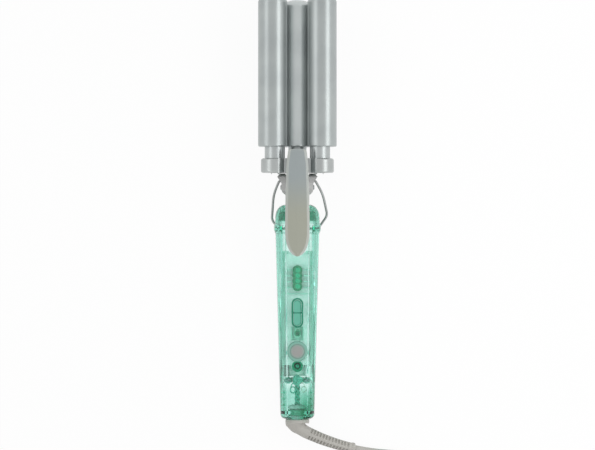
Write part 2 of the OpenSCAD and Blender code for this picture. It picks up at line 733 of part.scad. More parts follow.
module neck_housing() {
    rim = rim_w / 2;
    head = head_w / 2;
    front = softened([[-rim, rim_y], [rim, rim_y], [rim - 1.2, rim_y - 2.4], [head, rim_y - 5],
        [head, head_y + 2], [stem_d / 2 - 0.4, head_y - 1], [-stem_d / 2 + 0.4, head_y - 1],
        [-head, head_y + 2],
        [-head, rim_y - 5], [-rim + 1.2, rim_y - 2.4]], [0.6, 0.6, 1, 2, 2.5, 0, 0, 2.5, 2, 1]);
    side = softened([[rim_y, head_back], [rim_y, head_front - 2], [pin_y + 3, head_front],
        [pin_y - 3, head_front], [head_y - 1, axis_z + 8], [head_y - 1, axis_z - 8], [head_y + 3, head_back]],
        [1, 1, 2, 3, 0, 0, 3]);
    flange_out = 2;
    stem_r = stem_d / 2;
    color("gray") difference() {
        union() {
            intersection() {
                front_plate(front, 0, head_front + 1);
                side_plate(side, -rim, rim);
            }
            bar_y(0, axis_z, flange_y, head_y, stem_r);
            intersection() {
                bar_y(0, axis_z, flange_y - flange_t, flange_y, stem_r + flange_out);
                grip_body(wall + seat_fit);
            }
        }
        span([-slot_w / 2, pin_y - 8, slot_z], [slot_w / 2, rim_y + 1, head_front + 1]);
        span([-spring_slot, top_y + 3, slot_z], [spring_slot, pin_y, head_front + 1]);
        translate([-head_w, pin_y, pin_z]) along_x() cylinder(h = 2 * head_w, r = pin_d / 2);
        both_sides() translate([head_w / 2 - wire_in - 0.4, stand_y, stand_z]) along_x()
            cylinder(h = rim_w, r = stand_r - 0.05 + run_fit);
        both_sides() span([head, head_y, -1],
            [rim_w, stand_y + stand_r + free_gap, stand_z + stand_r + free_gap]);
        bar_y(0, axis_z - 5, flange_y - flange_t - 1, rim_y + 1, lead_hole_r);
    }
}

// Dark plate between the housing's rim and the centre barrel's neck
module heat_shield() {
    half = rim_w / 2 - 1;
    shape = softened([[-half, head_back + 1], [half, head_back + 1], [half, head_front - 3],
        [-half, head_front - 3]], 7);
    color("black") difference() {
        union() {
            translate([0, shield_top, 0]) rotate([90, 0, 0]) linear_extrude(shield_t) polygon(shape);
            both_sides() span([slot_w / 2 + 0.2, shield_top - 0.2, head_back + 5],
                [half - 0.6, shield_top + shield_lip, web_back - 0.8]);
        }
        bar_y(0, centre_z, shield_y - 1, shield_top + 1, lead_hole_r);
        both_sides() span([lug_out - lug_t - free_gap, shield_y - 1, lug_z0],
            [slot_w / 2, shield_y + 5, head_front]);
    }
}

// ---- stand ---------------------------------------------------------------------------------

// Loop of wire whose two turned-in ends pivot in the head
module stand_wire() {
    inner = head_w / 2 - wire_in;
    start = head_w / 2 + free_gap;
    outer = start + stand_r + 0.5;
    function half(lean) = [[start, 0], [outer, 0], [outer + 5.6 + 0.4 * lean, -0.28 * stand_reach],
        [loop_w / 2 + lean, -(0.77 - 0.025 * lean) * stand_reach], [cross_w / 2 + 0.5 * lean, -stand_reach]];
    bend = [0, 1.4, 40, 8, 6];
    line = bent_line(concat(half(loop_lean), flip_x(half(-loop_lean))),
        concat(bend, [for (i = [4:-1:0]) bend[i]]), 6);
    color("gray") translate([0, stand_y, stand_z]) rotate([stand_tilt, 0, 0]) {
        sweep([for (p = line) [p[0], p[1], 0]], stand_r, 12);
        both_sides() translate([inner, 0, 0]) along_x() cylinder(h = start + 0.6 - inner, r = stand_r - 0.05);
    }
}

// ---- handle shells -------------------------------------------------------------------------

// Radius profile of the handle, held in by the given amount
function grip_profile(inset) = concat([[0, end_y + inset], [side_r(end_y) - end_round - 0.6, end_y + inset]],
    bow([side_r(end_y) - end_round, end_y + end_round], end_round - inset, end_round - inset, -70, 0, 5),
    [[grip_r - inset, grip_y]],
    [[collar_r - inset, collar_y - collar_band + 0.9], [collar_r - inset, collar_y - 0.6],
        [collar_r - inset - 0.8, collar_y + 1.2]],
    bow([stem_d / 2 + seat_fit, top_y - shoulder], collar_r - 1.3 - stem_d / 2 - inset,
        shoulder - inset, 0, 90, 9),
    [[0, top_y - inset]]);

// Side profile of the handle, held in by the given amount
function grip_side(inset) = [[end_y - 1, inset], [recess_y - inset, inset],
    [recess_y + 1 - inset, recess_z + inset], [top_y + 1, recess_z + inset],
    [top_y + 1, front_top + 0.2 - inset], [collar_y + 3, front_top + 0.2 - inset],
    [collar_y, front_top + 1.2 - inset], [collar_y - collar_band, front_top + 1.2 - inset],
    [grip_y, front_top - inset], [end_y - 1, front_end - inset]];

module grip_body(inset) {
    intersection() {
        turned(0, axis_z, grip_profile(inset));
        side_plate(grip_side(inset), -collar_w, collar_w);
    }
}

// The part of a body in front of or behind the parting plane
module in_front(z) {
    intersection() {
        children();
        span([-collar_w, end_y - 5, z], [collar_w, top_y + 5, z + 60]);
    }
}

module behind(z) {
    intersection() {
        children();
        span([-collar_w, end_y - 5, z - 60], [collar_w, top_y + 5, z]);
    }
}

module shell_openings() {
    bar_y(0, axis_z, top_y - wall - 2, top_y + 1, stem_d / 2 + seat_fit);
    bar_y(0, axis_z, end_y - 1, end_y + wall + 2, journal_r + 2 + run_fit);
}

// Stadium in the XY plane
module stadium(y, length, width, z0, z1) {
    half = (length - width) / 2;
    for (k = [-1, 1]) translate([0, y + k * half, z0]) cylinder(h = z1 - z0, r = width / 2);
    span([-width / 2, y - half, z0], [width / 2, y + half, z1]);
}

// What stands on a shell's inside, grown into its wall
module on_the_wall() {
    intersection() {
        grip_body(wall - 0.2);
        union() children();
    }
}

// Stiffening blocks inside the collar, one on each side
module collar_blocks(z0, z1) {
    both_sides() span([rib_x, collar_y - collar_band, z0], [collar_r, collar_y - 1, z1]);
}

// Short ribs beside the swivel, one row on each side
module end_ribs(z0, z1) {
    ribs = 3;
    rib_pitch = 5.4;
    for (i = [0:ribs - 1]) let (y = ring_y + ring_l + 3.2 + i * rib_pitch)
        both_sides() span([journal_r + 3.8, y, z0], [collar_w, y + 1.2, z1]);
}

// Rib that holds the swivel ring
module ring_rib(z0, z1) {
    difference() {
        span([-collar_w, ring_y + 1.2, z0], [collar_w, ring_y + ring_l - 1.2, z1]);
        bar_y(0, axis_z, ring_y, ring_y + ring_l, ring_r + seat_fit);
    }
}

module front_shell() {
    color("mediumaquamarine") difference() {
        union() {
            difference() {
                in_front(axis_z) grip_body(0);
                grip_body(wall);
                in_front(axis_z - 1) behind(axis_z + lip_h + seat_fit) grip_body(wall / 2);
            }
            on_the_wall() {
                for (y = [boss_y, upper_boss_y]) translate([0, y, boss_meet_z]) cylinder(h = 20, r = boss_r);
                for (k = [-1, 1]) translate([k * clamp_x, clamp_y, clamp_top + seat_fit])
                    cylinder(h = 20, r = post_r);
                ring_rib(axis_z, front_top);
                end_ribs(seam_top, front_top);
                collar_blocks(seam_top, front_top);
                both_sides() span([rib_x, ring_y + ring_l, seam_top],
                    [rib_x + rib_t, collar_y - collar_band, front_top]);
            }
        }
        shell_openings();
        translate([0, button_y, axis_z]) cylinder(h = 30, r = button_r + free_gap / 2);
        stadium(rocker_y, rocker_l + 2 * bezel_w + 2 * seat_fit, rocker_w + 2 * bezel_w + 2 * seat_fit,
            axis_z, 40);
        for (y = [boss_y, upper_boss_y]) translate([0, y, axis_z - 3]) cylinder(h = 9, r = screw_r);
        for (k = [-1, 1]) translate([k * clamp_x, clamp_y, axis_z - 1]) cylinder(h = 7, r = screw_r);
    }
}

module rear_shell() {
    color("mediumaquamarine") difference() {
        union() {
            difference() {
                behind(axis_z) grip_body(0);
                grip_body(wall);
            }
            difference() {
                intersection() {
                    behind(axis_z + lip_h) in_front(axis_z - 3) grip_body(wall / 2 + seat_fit);
                    span([-collar_w, ring_y + ring_l + 1, 0], [collar_w, top_y - shoulder, 40]);
                }
                grip_body(wall);
            }
            on_the_wall() {
                for (y = [boss_y, upper_boss_y]) translate([0, y, 0])
                    cylinder(h = boss_meet_z - seat_fit, r = boss_r);
                for (y = [frame_y + 14, rocker_y, guide_y + 8]) both_sides()
                    span([7.4, y - 0.8, 0], [8.8, y + 0.8, board_z - seat_fit]);
                ring_rib(0, axis_z);
                end_ribs(0, axis_z - seat_fit);
                collar_blocks(0, axis_z - seat_fit);
            }
        }
        shell_openings();
        for (y = [boss_y, upper_boss_y]) translate([0, y, 0]) {
            cylinder(h = boss_meet_z, r = screw_r + 2 * seat_fit);
            cylinder(h = screw_z + screw_head_h, r = screw_head_r + 2 * seat_fit);
        }
    }
}

// Two screws that hold the shells together, from behind
module shell_screws() {
    cross_l = 1.8;
    cross_w = 0.35;
    color("dimgray") for (y = [boss_y, upper_boss_y]) translate([0, y, screw_z]) {
        cylinder(h = boss_meet_z + 4.7 - screw_z, r = screw_r);
        difference() {
            cylinder(h = screw_head_h, r = screw_head_r);
            span([-cross_l, -cross_w, -1], [cross_l, cross_w, 0.8]);
            span([-cross_w, -cross_l, -1], [cross_w, cross_l, 0.8]);
        }
    }
}

// ---- controls ------------------------------------------------------------------------------

module power_button() {
    cap_z = button_z - wall - 0.8;
    cap_h = button_z + button_proud - cap_z;
    dish_z = button_z + button_proud - button_dish;
    color("mediumaquamarine") difference() {
        union() {
            translate([0, button_y, cap_z]) rotate_extrude() polygon(concat([[0, 0], [button_r, 0]],
                bow([button_r - 1, cap_h - 1], 1, 1, 0, 90, 4), [[0, cap_h]]));
            translate([0, button_y, switch_top + button_travel + 0.05])
                cylinder(h = cap_z - switch_top - button_travel, r = 1.8);
        }
        translate([0, button_y, dish_z]) cylinder(h = 2, r = button_r - button_rim);
    }
}

module button_disc() {
    color("silver") translate([0, button_y, button_z + button_proud - button_dish + 0.02])
        rotate_extrude() polygon(concat([[0, 0], [button_r - button_rim - seat_fit, 0]],
            bow([0, 0.4], button_r - button_rim - seat_fit, 0.9, 0, 90, 6)));
}

module rocker_bezel() {
    color("seagreen") difference() {
        stadium(rocker_y, rocker_l + 2 * bezel_w, rocker_w + 2 * bezel_w, rocker_z - wall, rocker_z + 0.8);
        stadium(rocker_y, rocker_l, rocker_w, rocker_z - wall - 1, rocker_z + 2);
        rocker_pin(rocker_w / 2 + bezel_w - 0.4, rocker_pin_r + run_fit);
    }
}

module rocker_pin(half, r) {
    translate([-half, rocker_y, rocker_pivot]) along_x() cylinder(h = 2 * half, r = r);
}

// Two-way key that tips on its side pins, with a stem to each switch
module rocker_key() {
    l = rocker_l - 2 * free_gap;
    w = rocker_w - 2 * free_gap;
    stem_z = switch_top + rocker_end * sin(rocker_tilt) + 0.1;
    color("mediumaquamarine") difference() {
        union() {
            stadium(rocker_y, l, w, rocker_z - 2, rocker_z + 0.9);
            for (y = rocker_keys) translate([0, y, stem_z]) cylinder(h = rocker_z - 1.5 - stem_z, r = 1.4);
            rocker_pin(rocker_w / 2 + bezel_w - 0.6, rocker_pin_r);
        }
        side_plate([[rocker_y - 1.4, rocker_z + 2], [rocker_y, rocker_z - 0.3],
            [rocker_y + 1.4, rocker_z + 2]],
            -w, w);
    }
}

// Clear guide with a lobe over each lamp and a stem down to it
module light_guide() {
    color("seagreen") for (y = lobe_y) {
        translate([0, y, shelf_top + seat_fit])
            cylinder(h = guide_top - shelf_top - seat_fit, r = lobe_d / 2);
        translate([0, y, board_top + 1.9]) cylinder(h = shelf_top - board_top - 1, r = guide_stem_r);
    }
}

// Tray between the rocker and the power button, with a peg in its middle
module key_shroud() {
    half = rocker_w / 2 + bezel_w + 0.4;
    side = 0.9;
    floor_z = shelf_top + seat_fit;
    top_z = front_z(shroud_y - shroud_half) - wall - 1;
    color("seagreen") difference() {
        union() {
            span([-half, shroud_y - shroud_half, floor_z], [half, shroud_y + shroud_half, floor_z + 1.3]);
            both_sides() span([half - side, shroud_y - shroud_half, floor_z],
                [half, shroud_y + shroud_half, top_z]);
            translate([0, shroud_y, floor_z]) cylinder(h = top_z - floor_z, r = 3.4);
        }
        translate([0, shroud_y, floor_z + 3]) cylinder(h = top_z, r = 1.5);
    }
}

// Green ring inside the shoulder, under the neck housing's flange
module collar_insert() {
    insert_l = 7.6;
    insert_y = flange_y - flange_t - 0.2 - insert_l;
    color("seagreen") difference() {
        intersection() {
            grip_body(wall + seat_fit);
            span([-collar_w, insert_y, -1], [collar_w, insert_y + insert_l, front_top]);
        }
        bar_y(0, axis_z, insert_y - 1, insert_y + insert_l + 1, stem_d / 2 - 1.4);
    }
}

// ---- inside the handle ---------------------------------------------------------------------

// Open frame on the board that carries the light guide and guides the buttons' stems
module inner_frame() {
    half = frame_w / 2;
    y1 = frame_top;
    wall_top = shelf_top + 1.2;
    tab_w = 4.5;
    tab_top = shelf_top + 2.8;
    fins = 4;
    fin_t = 1;
    fin_pitch = 5;
    fin_y = guide_y - 8.4;
    fin_top = guide_top - 0.4;
    divider_y = rocker_y + rocker_l / 2 + 5;
    peg_x = half - 3;
    peg_r = 0.9;
    stem_hole_r = 2.2;
    color("paleturquoise") difference() {
        intersection() {
            grip_body(wall + free_gap);
            union() {
                span([-half, frame_y, shelf_z], [half, y1, shelf_top]);
                both_sides() span([half - frame_t, frame_y, board_top + seat_fit], [half, y1, wall_top]);
                both_sides() span([half - tab_w, y1 - 1.4, shelf_z], [half, y1 + 1.2, tab_top]);
                for (i = [0:fins - 1]) both_sides()
                    span([lobe_d / 2 + 0.8, fin_y + i * fin_pitch, shelf_z],
                        [half - frame_t, fin_y + i * fin_pitch + fin_t, fin_top]);
                translate([0, button_y, shelf_z]) cylinder(h = 3, r = 4);
                span([-half, divider_y - 0.5, shelf_z], [half, divider_y + 0.5, shelf_top + 2.6]);
                for (y = [rocker_y - 0.7, rocker_y + 7.2]) translate([peg_x, y, shelf_z])
                    cylinder(h = 4, r = peg_r);
            }
        }
        translate([0, boss_y, board_z]) cylinder(h = 20, r = boss_r + free_gap);
        for (y = concat(rocker_keys, [button_y])) translate([0, y, board_top])
            cylinder(h = 20, r = stem_hole_r);
        for (y = lobe_y) translate([0, y, board_top]) cylinder(h = 20, r = guide_stem_r + 3 * seat_fit);
    }
}

module circuit_board() {
    color("darkgreen") difference() {
        span([-board_half, board_y0, board_z], [board_half, board_y1, board_top]);
        translate([0, boss_y, board_z - 1]) cylinder(h = 4, r = boss_r + free_gap);
        for (k = [-1, 1]) translate([k * (board_half - 2), board_y1 - 3, board_z - 1]) cylinder(h = 4, r = 1);
    }
}

// Chip with its row of legs on each side
module driver_chip() {
    legs = 4;
    leg_pitch = 1.3;
    half_w = 3;
    half_l = legs * leg_pitch / 2;
    color("black") span([-half_w, chip_y - half_l, board_top + 0.3],
        [half_w, chip_y + half_l, board_top + 2.2]);
    color("silver") both_sides() for (i = [0:legs - 1])
        span([half_w - 0.1, chip_y - half_l + (i + 0.35) * leg_pitch, board_top],
            [half_w + 1.2, chip_y - half_l + (i + 0.65) * leg_pitch, board_top + 0.9]);
}

module relay() {
    relay_w = 4.2;
    relay_h = 6.4;
    rim = 0.7;
    color("saddlebrown") {
        span([-board_half, board_y0, board_top], [-board_half + relay_w, bay_y1, board_top + relay_h]);
        span([-board_half + rim, board_y0 + rim, board_top + relay_h - 0.1],
            [-board_half + relay_w - rim, bay_y1 - rim, board_top + relay_h + 0.6]);
    }
}

// Upright end cap, can and foot of the filter capacitor
module capacitor() {
    can_r = 2.4;
    bead = 0.3;
    x = board_half - can_r - seat_fit;
    color("white") {
        turned(x, board_top + can_r + 0.6, [[0, board_y0], [can_r - bead, board_y0], [can_r, board_y0 + bead],
            [can_r, bay_y1 - 1.6], [can_r - bead, bay_y1 - 1.3], [can_r - bead, bay_y1 - 1],
            [can_r, bay_y1 - 0.7],
            [can_r - bead, bay_y1], [0, bay_y1]]);
        span([x - 1.8, bay_mid - 3.4, board_top], [x + 1.8, bay_mid + 3.4, board_top + 2]);
    }
}

module indicator_lamps() {
    body_h = 0.8;
    color("lime") for (y = lobe_y) translate([0, y, board_top]) {
        cylinder(h = body_h, r = lamp_r);
        translate([0, 0, body_h - 0.1]) cylinder(h = body_h + 0.1, r = lamp_r - 0.5);
    }
}

// One switch under the power button and one under each end of the rocker
module key_switches() {
    half = 2.6;
    body_z = board_top + switch_h * 2 / 3;
    color("dimgray") for (y = concat(rocker_keys, [button_y])) {
        span([-half, y - half, board_top], [half, y + half, body_z]);
        translate([0, y, body_z - 0.1]) cylinder(h = switch_top - body_z + 0.1, r = half - 1.4);
    }
}

// Bar that grips the cord's cores, with two screws
module cord_clamp() {
    half = clamp_x + 2.8;
    throat_r = 2.9;
    color("ivory") difference() {
        union() {
            span([-half, clamp_y - clamp_half, clamp_z], [half, clamp_y + clamp_half, clamp_top]);
            bar_y(0, board_z, clamp_y - clamp_half, clamp_y + clamp_half, throat_r + 1.3);
        }
        bar_y(0, board_z, clamp_y - clamp_half - 1, clamp_y + clamp_half + 1, throat_r);
        for (k = [-1, 1]) translate([k * clamp_x, clamp_y, clamp_z - 1])
            cylinder(h = clamp_top - clamp_z + 2, r = screw_r + seat_fit);
    }
}

module clamp_screws() {
    head_h = 1.4;
    color("dimgray") for (k = [-1, 1]) translate([k * clamp_x, clamp_y, clamp_z - seat_fit - head_h]) {
        cylinder(h = clamp_top - clamp_z + 3.8 + head_h, r = screw_r);
        cylinder(h = head_h, r = screw_r + 1.1);
    }
}

// Two cores twisted round each other, from the swivel through the clamp to the board's edge
module handle_leads() {
    lead_r = 1.2;
    y0 = journal_top + 3.8;
    y1 = board_y0 - 0.7;
    steps = 30;
    for (k = [0, 180]) color(k == 0 ? "darkgreen" : "seagreen")
        sweep([for (i = [0:steps])
            let (t = i / steps, a = k + 900 * t, z = mix(axis_z, board_z, min(1, 2 * t)))
            [1.3 * cos(a), mix(y0, y1, t), z + 1.3 * sin(a)]], lead_r, 8);
}

// ---- swivel, cord and plug -----------------------------------------------------------------

// Fixed ring that the swivel turns in
module swivel_ring() {
    color("gainsboro") difference() {
        bar_y(0, axis_z, ring_y, ring_y + ring_l, ring_r);
        bar_y(0, axis_z, ring_y - 1, ring_y + ring_l + 1, journal_r + run_fit);
    }
}

module swivel_journal() {
    lip = journal_r + 2;
    color("dimgray") difference() {
        turned(0, axis_z, [[0, end_y - 0.5], [lip, end_y - 0.5], [lip, ring_y - free_gap],
            [journal_r, ring_y - free_gap], [journal_r, journal_top], [lip, journal_top + 0.4],
            [lip, journal_top + 2.4], [journal_r - 0.8, journal_top + 3.4], [0, journal_top + 3.4]]);
        bar_y(0, axis_z, end_y - 2, journal_top + 5, 2.6);
    }
}

// Bent boot: a round knob that necks down into a ribbed sleeve with an end collar
module strain_relief() {
    route = [for (q = part_of(cord_route, 0, relief_end)) q + cord_start];
    knob_to = 0.18;
    neck_at = 0.42;
    ribs_from = 0.5;
    ribs_to = 0.96;
    groove = 0.8;
    sleeve_r = cord_r + 2.4;
    sleeve_end_r = cord_r + 1.3;
    elbow = [for (i = [1:16]) [ribs_from * i / 17, 0]];
    ribbed = [for (i = [0:relief_ribs - 1]) for (e = [[0, 0], [0.5, 0], [0.58, groove], [0.92, groove]])
        [mix(ribs_from, ribs_to, (i + e[0]) / relief_ribs), e[1]]];
    stations = concat(elbow, ribbed, [[ribs_to, 0], [1, 0]]);
    function eased(t) = let (c = max(0, min(1, t))) c * c * (3 - 2 * c);
    function plain_r(s) = s < neck_at ? mix(elbow_r, sleeve_r, eased((s - knob_to) / (neck_at - knob_to)))
        : mix(sleeve_r, sleeve_end_r, (s - neck_at) / (1 - neck_at));
    color("silver") sweep(concat([route[0]], [for (s = stations) along(route, s[0] * relief_end)]),
        concat([elbow_r - 0.4], [for (s = stations) plain_r(s[0]) - s[1]]), 16);
}

module cord_tube() {
    route = [for (q = part_of(cord_route, tube_start, last(cord_route))) q + cord_start];
    color("silver") sweep(smoothed(route, 3), cord_r, 10);
}

// Outer shape of the coil: a wide lower layer with a narrower one on it
module cord_coil() {
    color("silver") translate(coil_mid) rotate_extrude() polygon([
        [coil_hole, 0], [coil_r, 0], [coil_r, cord_d],
        [coil_r - cord_d, cord_d], [coil_r - cord_d, 2 * cord_d], [coil_hole, 2 * cord_d]]);
}

// Straight stretch from the coil's upper layer to the plug
module cord_tail() {
    upper_r = coil_r - cord_d;
    from = coil_mid[0] - sqrt(pow(upper_r, 2) - pow(upper_r - cord_d, 2)) - 0.2;
    color("silver") translate([plug_x, plug_y, plug_z]) along_x() cylinder(h = from - plug_x, r = cord_r);
}

// Band round both layers of the coil
module coil_tie() {
    t = 0.9;
    half = 3;
    outer = coil_r + seat_fit;
    step = coil_r - cord_d + seat_fit;
    inner = sqrt(pow(coil_hole, 2) - pow(half, 2)) - 2 * seat_fit;
    low = cord_d + seat_fit;
    high = 2 * cord_d + seat_fit;
    color("black") translate(coil_mid + [0, half, 0]) rotate([90, 0, 0]) linear_extrude(2 * half)
        difference() {
            polygon([[-outer - t, 0], [-outer - t, low + t], [-step - t, low + t], [-step - t, high + t],
                [-inner + t, high + t], [-inner + t, 0]]);
            polygon([[-outer, -1], [-outer, low], [-step, low], [-step, high], [-inner, high], [-inner, -1]]);
        }
}

// Moulded plug with its boot towards the tail
module plug_body() {
    half_w = 11;
    color("silver") translate([plug_x, plug_y, plug_z]) along_x() {
        translate([0, 0, -plug_boot - plug_cone - plug_l]) linear_extrude(plug_l)
            polygon(softened([[-plug_z, -half_w], [plug_z, -half_w],
                [plug_z, half_w], [-plug_z, half_w]], 5));
        translate([0, 0, -plug_boot - plug_cone]) cylinder(h = plug_cone, r1 = plug_z - 1, r2 = cord_r + 1.6);
        translate([0, 0, -plug_boot]) cylinder(h = plug_boot, r = cord_r + 1.2);
    }
}

// Two flat blades
module plug_pins() {
    blade = [18, 1.5, 6.3];
    blade_gap = 12.7;
    color("silver") for (k = [-1, 1])
        translate([plug_x - plug_boot - plug_cone - plug_l - blade[0],
            plug_y + (k * blade_gap - blade[1]) / 2,
            plug_z - blade[2] / 2]) cube(blade);
}

front_shell();
rear_shell();
neck_housing();
heat_shield();
centre_neck();
centre_barrel();
centre_heater_clamp();
centre_heater_plates();
thermal_fuse();
hinge_pin();
jaw_spring();
inner_frame();
circuit_board();
driver_chip();
relay();
capacitor();
indicator_lamps();
key_switches();
light_guide();
rocker_bezel();
key_shroud();
collar_insert();
shell_screws();
cord_clamp();
clamp_screws();
handle_leads();
swivel_ring();
thumb_lever();
yoke();
left_barrel();
right_barrel();
left_neck();
right_neck();
left_heater_clamp();
right_heater_clamp();
left_heater_plates();
right_heater_plates();
lever_screws();
jaw_leads();
stand_wire();
power_button();
button_disc();
rocker_key();
swivel_journal();
strain_relief();
cord_tube();
cord_coil();
cord_tail();
coil_tie();
plug_body();
plug_pins();
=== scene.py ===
"""Dresses the three-barrel hair waver: its cord, its finishes and the studio it lies in."""

from __future__ import annotations

import logging
import math
from dataclasses import dataclass, replace
from enum import Enum
from typing import Callable, Mapping, Sequence, Union

import bmesh
import bpy
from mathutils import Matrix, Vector


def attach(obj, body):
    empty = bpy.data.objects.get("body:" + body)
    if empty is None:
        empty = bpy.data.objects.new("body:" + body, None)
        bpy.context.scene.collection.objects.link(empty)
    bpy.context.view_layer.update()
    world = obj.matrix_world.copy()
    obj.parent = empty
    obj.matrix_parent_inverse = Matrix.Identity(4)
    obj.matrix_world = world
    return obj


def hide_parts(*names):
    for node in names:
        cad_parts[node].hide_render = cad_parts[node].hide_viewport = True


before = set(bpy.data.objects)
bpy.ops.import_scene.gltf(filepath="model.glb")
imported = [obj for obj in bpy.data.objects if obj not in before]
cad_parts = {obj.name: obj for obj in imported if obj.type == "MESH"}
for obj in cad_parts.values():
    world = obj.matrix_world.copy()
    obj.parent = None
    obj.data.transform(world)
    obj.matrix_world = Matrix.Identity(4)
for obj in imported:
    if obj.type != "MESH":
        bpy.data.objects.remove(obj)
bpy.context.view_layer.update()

log = logging.getLogger("hair_waver")

MM = 0.001
Pair = tuple[float, float]
Point = tuple[float, float, float]
# X, Y and radius of a round patch seen from above, in metres
Spot = tuple[float, float, float]
Colour = tuple[float, float, float, float]
Setting = Union[str, float]
Operand = Union["Term", float]

# Blender's Mix node has sockets for each kind of data; these are the ones for colours
MIX_FACTOR, MIX_A, MIX_B, MIX_RESULT = 0, 6, 7, 2
ACRYLIC_IOR = 1.49


class Body(Enum):
    """Moving parts that pieces ride on."""

    HANDLE = "handle"
    SWIVEL = "swivel"


class Axis(Enum):
    """Directions that a gradient can run in."""

    X = "X"
    Y = "Y"
    Z = "Z"


class Ray(Enum):
    """Kinds of ray that a surface can answer in its own way."""

    CAMERA = "Is Camera Ray"
    GLOSSY = "Is Glossy Ray"
    TRANSMISSION = "Is Transmission Ray"
    SHADOW = "Is Shadow Ray"


def srgb(code: str) -> Colour:
    """Linear colour of a hex code such as 'a3a8a7'.

    Args:
        code: Two hex digits each for red, green and blue.

    Returns:
        The opaque colour.
    """
    parts = [int(code[i : i + 2], 16) / 255 for i in (0, 2, 4)]
    r, g, b = (p / 12.92 if p <= 0.04045 else ((p + 0.055) / 1.055) ** 2.4 for p in parts)
    return (r, g, b, 1.0)


def grey(value: float) -> Colour:
    """Neutral colour of a linear brightness."""
    return (value, value, value, 1.0)


WHITE = grey(1.0)


def lerp(a: float, b: float, t: float) -> float:
    """Value between a and b."""
    return a + (b - a) * t


def smooth(t: float) -> float:
    """Eased 0 to 1 step, held outside that range."""
    t = min(1.0, max(0.0, t))
    return t * t * (3 - 2 * t)


# ---- shader values ----


class Term:
    """A number in a shader: arithmetic on it adds Math nodes."""

    def __init__(self, shader: Shader, socket: bpy.types.NodeSocket) -> None:
        """Wraps a socket of one of the shader's nodes."""
        self.shader = shader
        self.socket = socket

    def other(self, name: str) -> Term:
        """Another output of the node that this value comes from."""
        return Term(self.shader, self.socket.node.outputs[name])

    def _math(self, operation: str, a: Operand, b: Operand) -> Term:
        """Adds a Math node."""
        return self.shader.node("ShaderNodeMath", {"operation": operation}, {0: a, 1: b})

    def __add__(self, b: Operand) -> Term:
        """Sum."""
        return self._math("ADD", self, b)

    def __radd__(self, a: Operand) -> Term:
        """Sum with the number first."""
        return self._math("ADD", a, self)

    def __sub__(self, b: Operand) -> Term:
        """Difference."""
        return self._math("SUBTRACT", self, b)

    def __rsub__(self, a: Operand) -> Term:
        """Difference with the number first."""
        return self._math("SUBTRACT", a, self)

    def __mul__(self, b: Operand) -> Term:
        """Product."""
        return self._math("MULTIPLY", self, b)

    def __or__(self, b: Operand) -> Term:
        """The larger of two values."""
        return self._math("MAXIMUM", self, b)


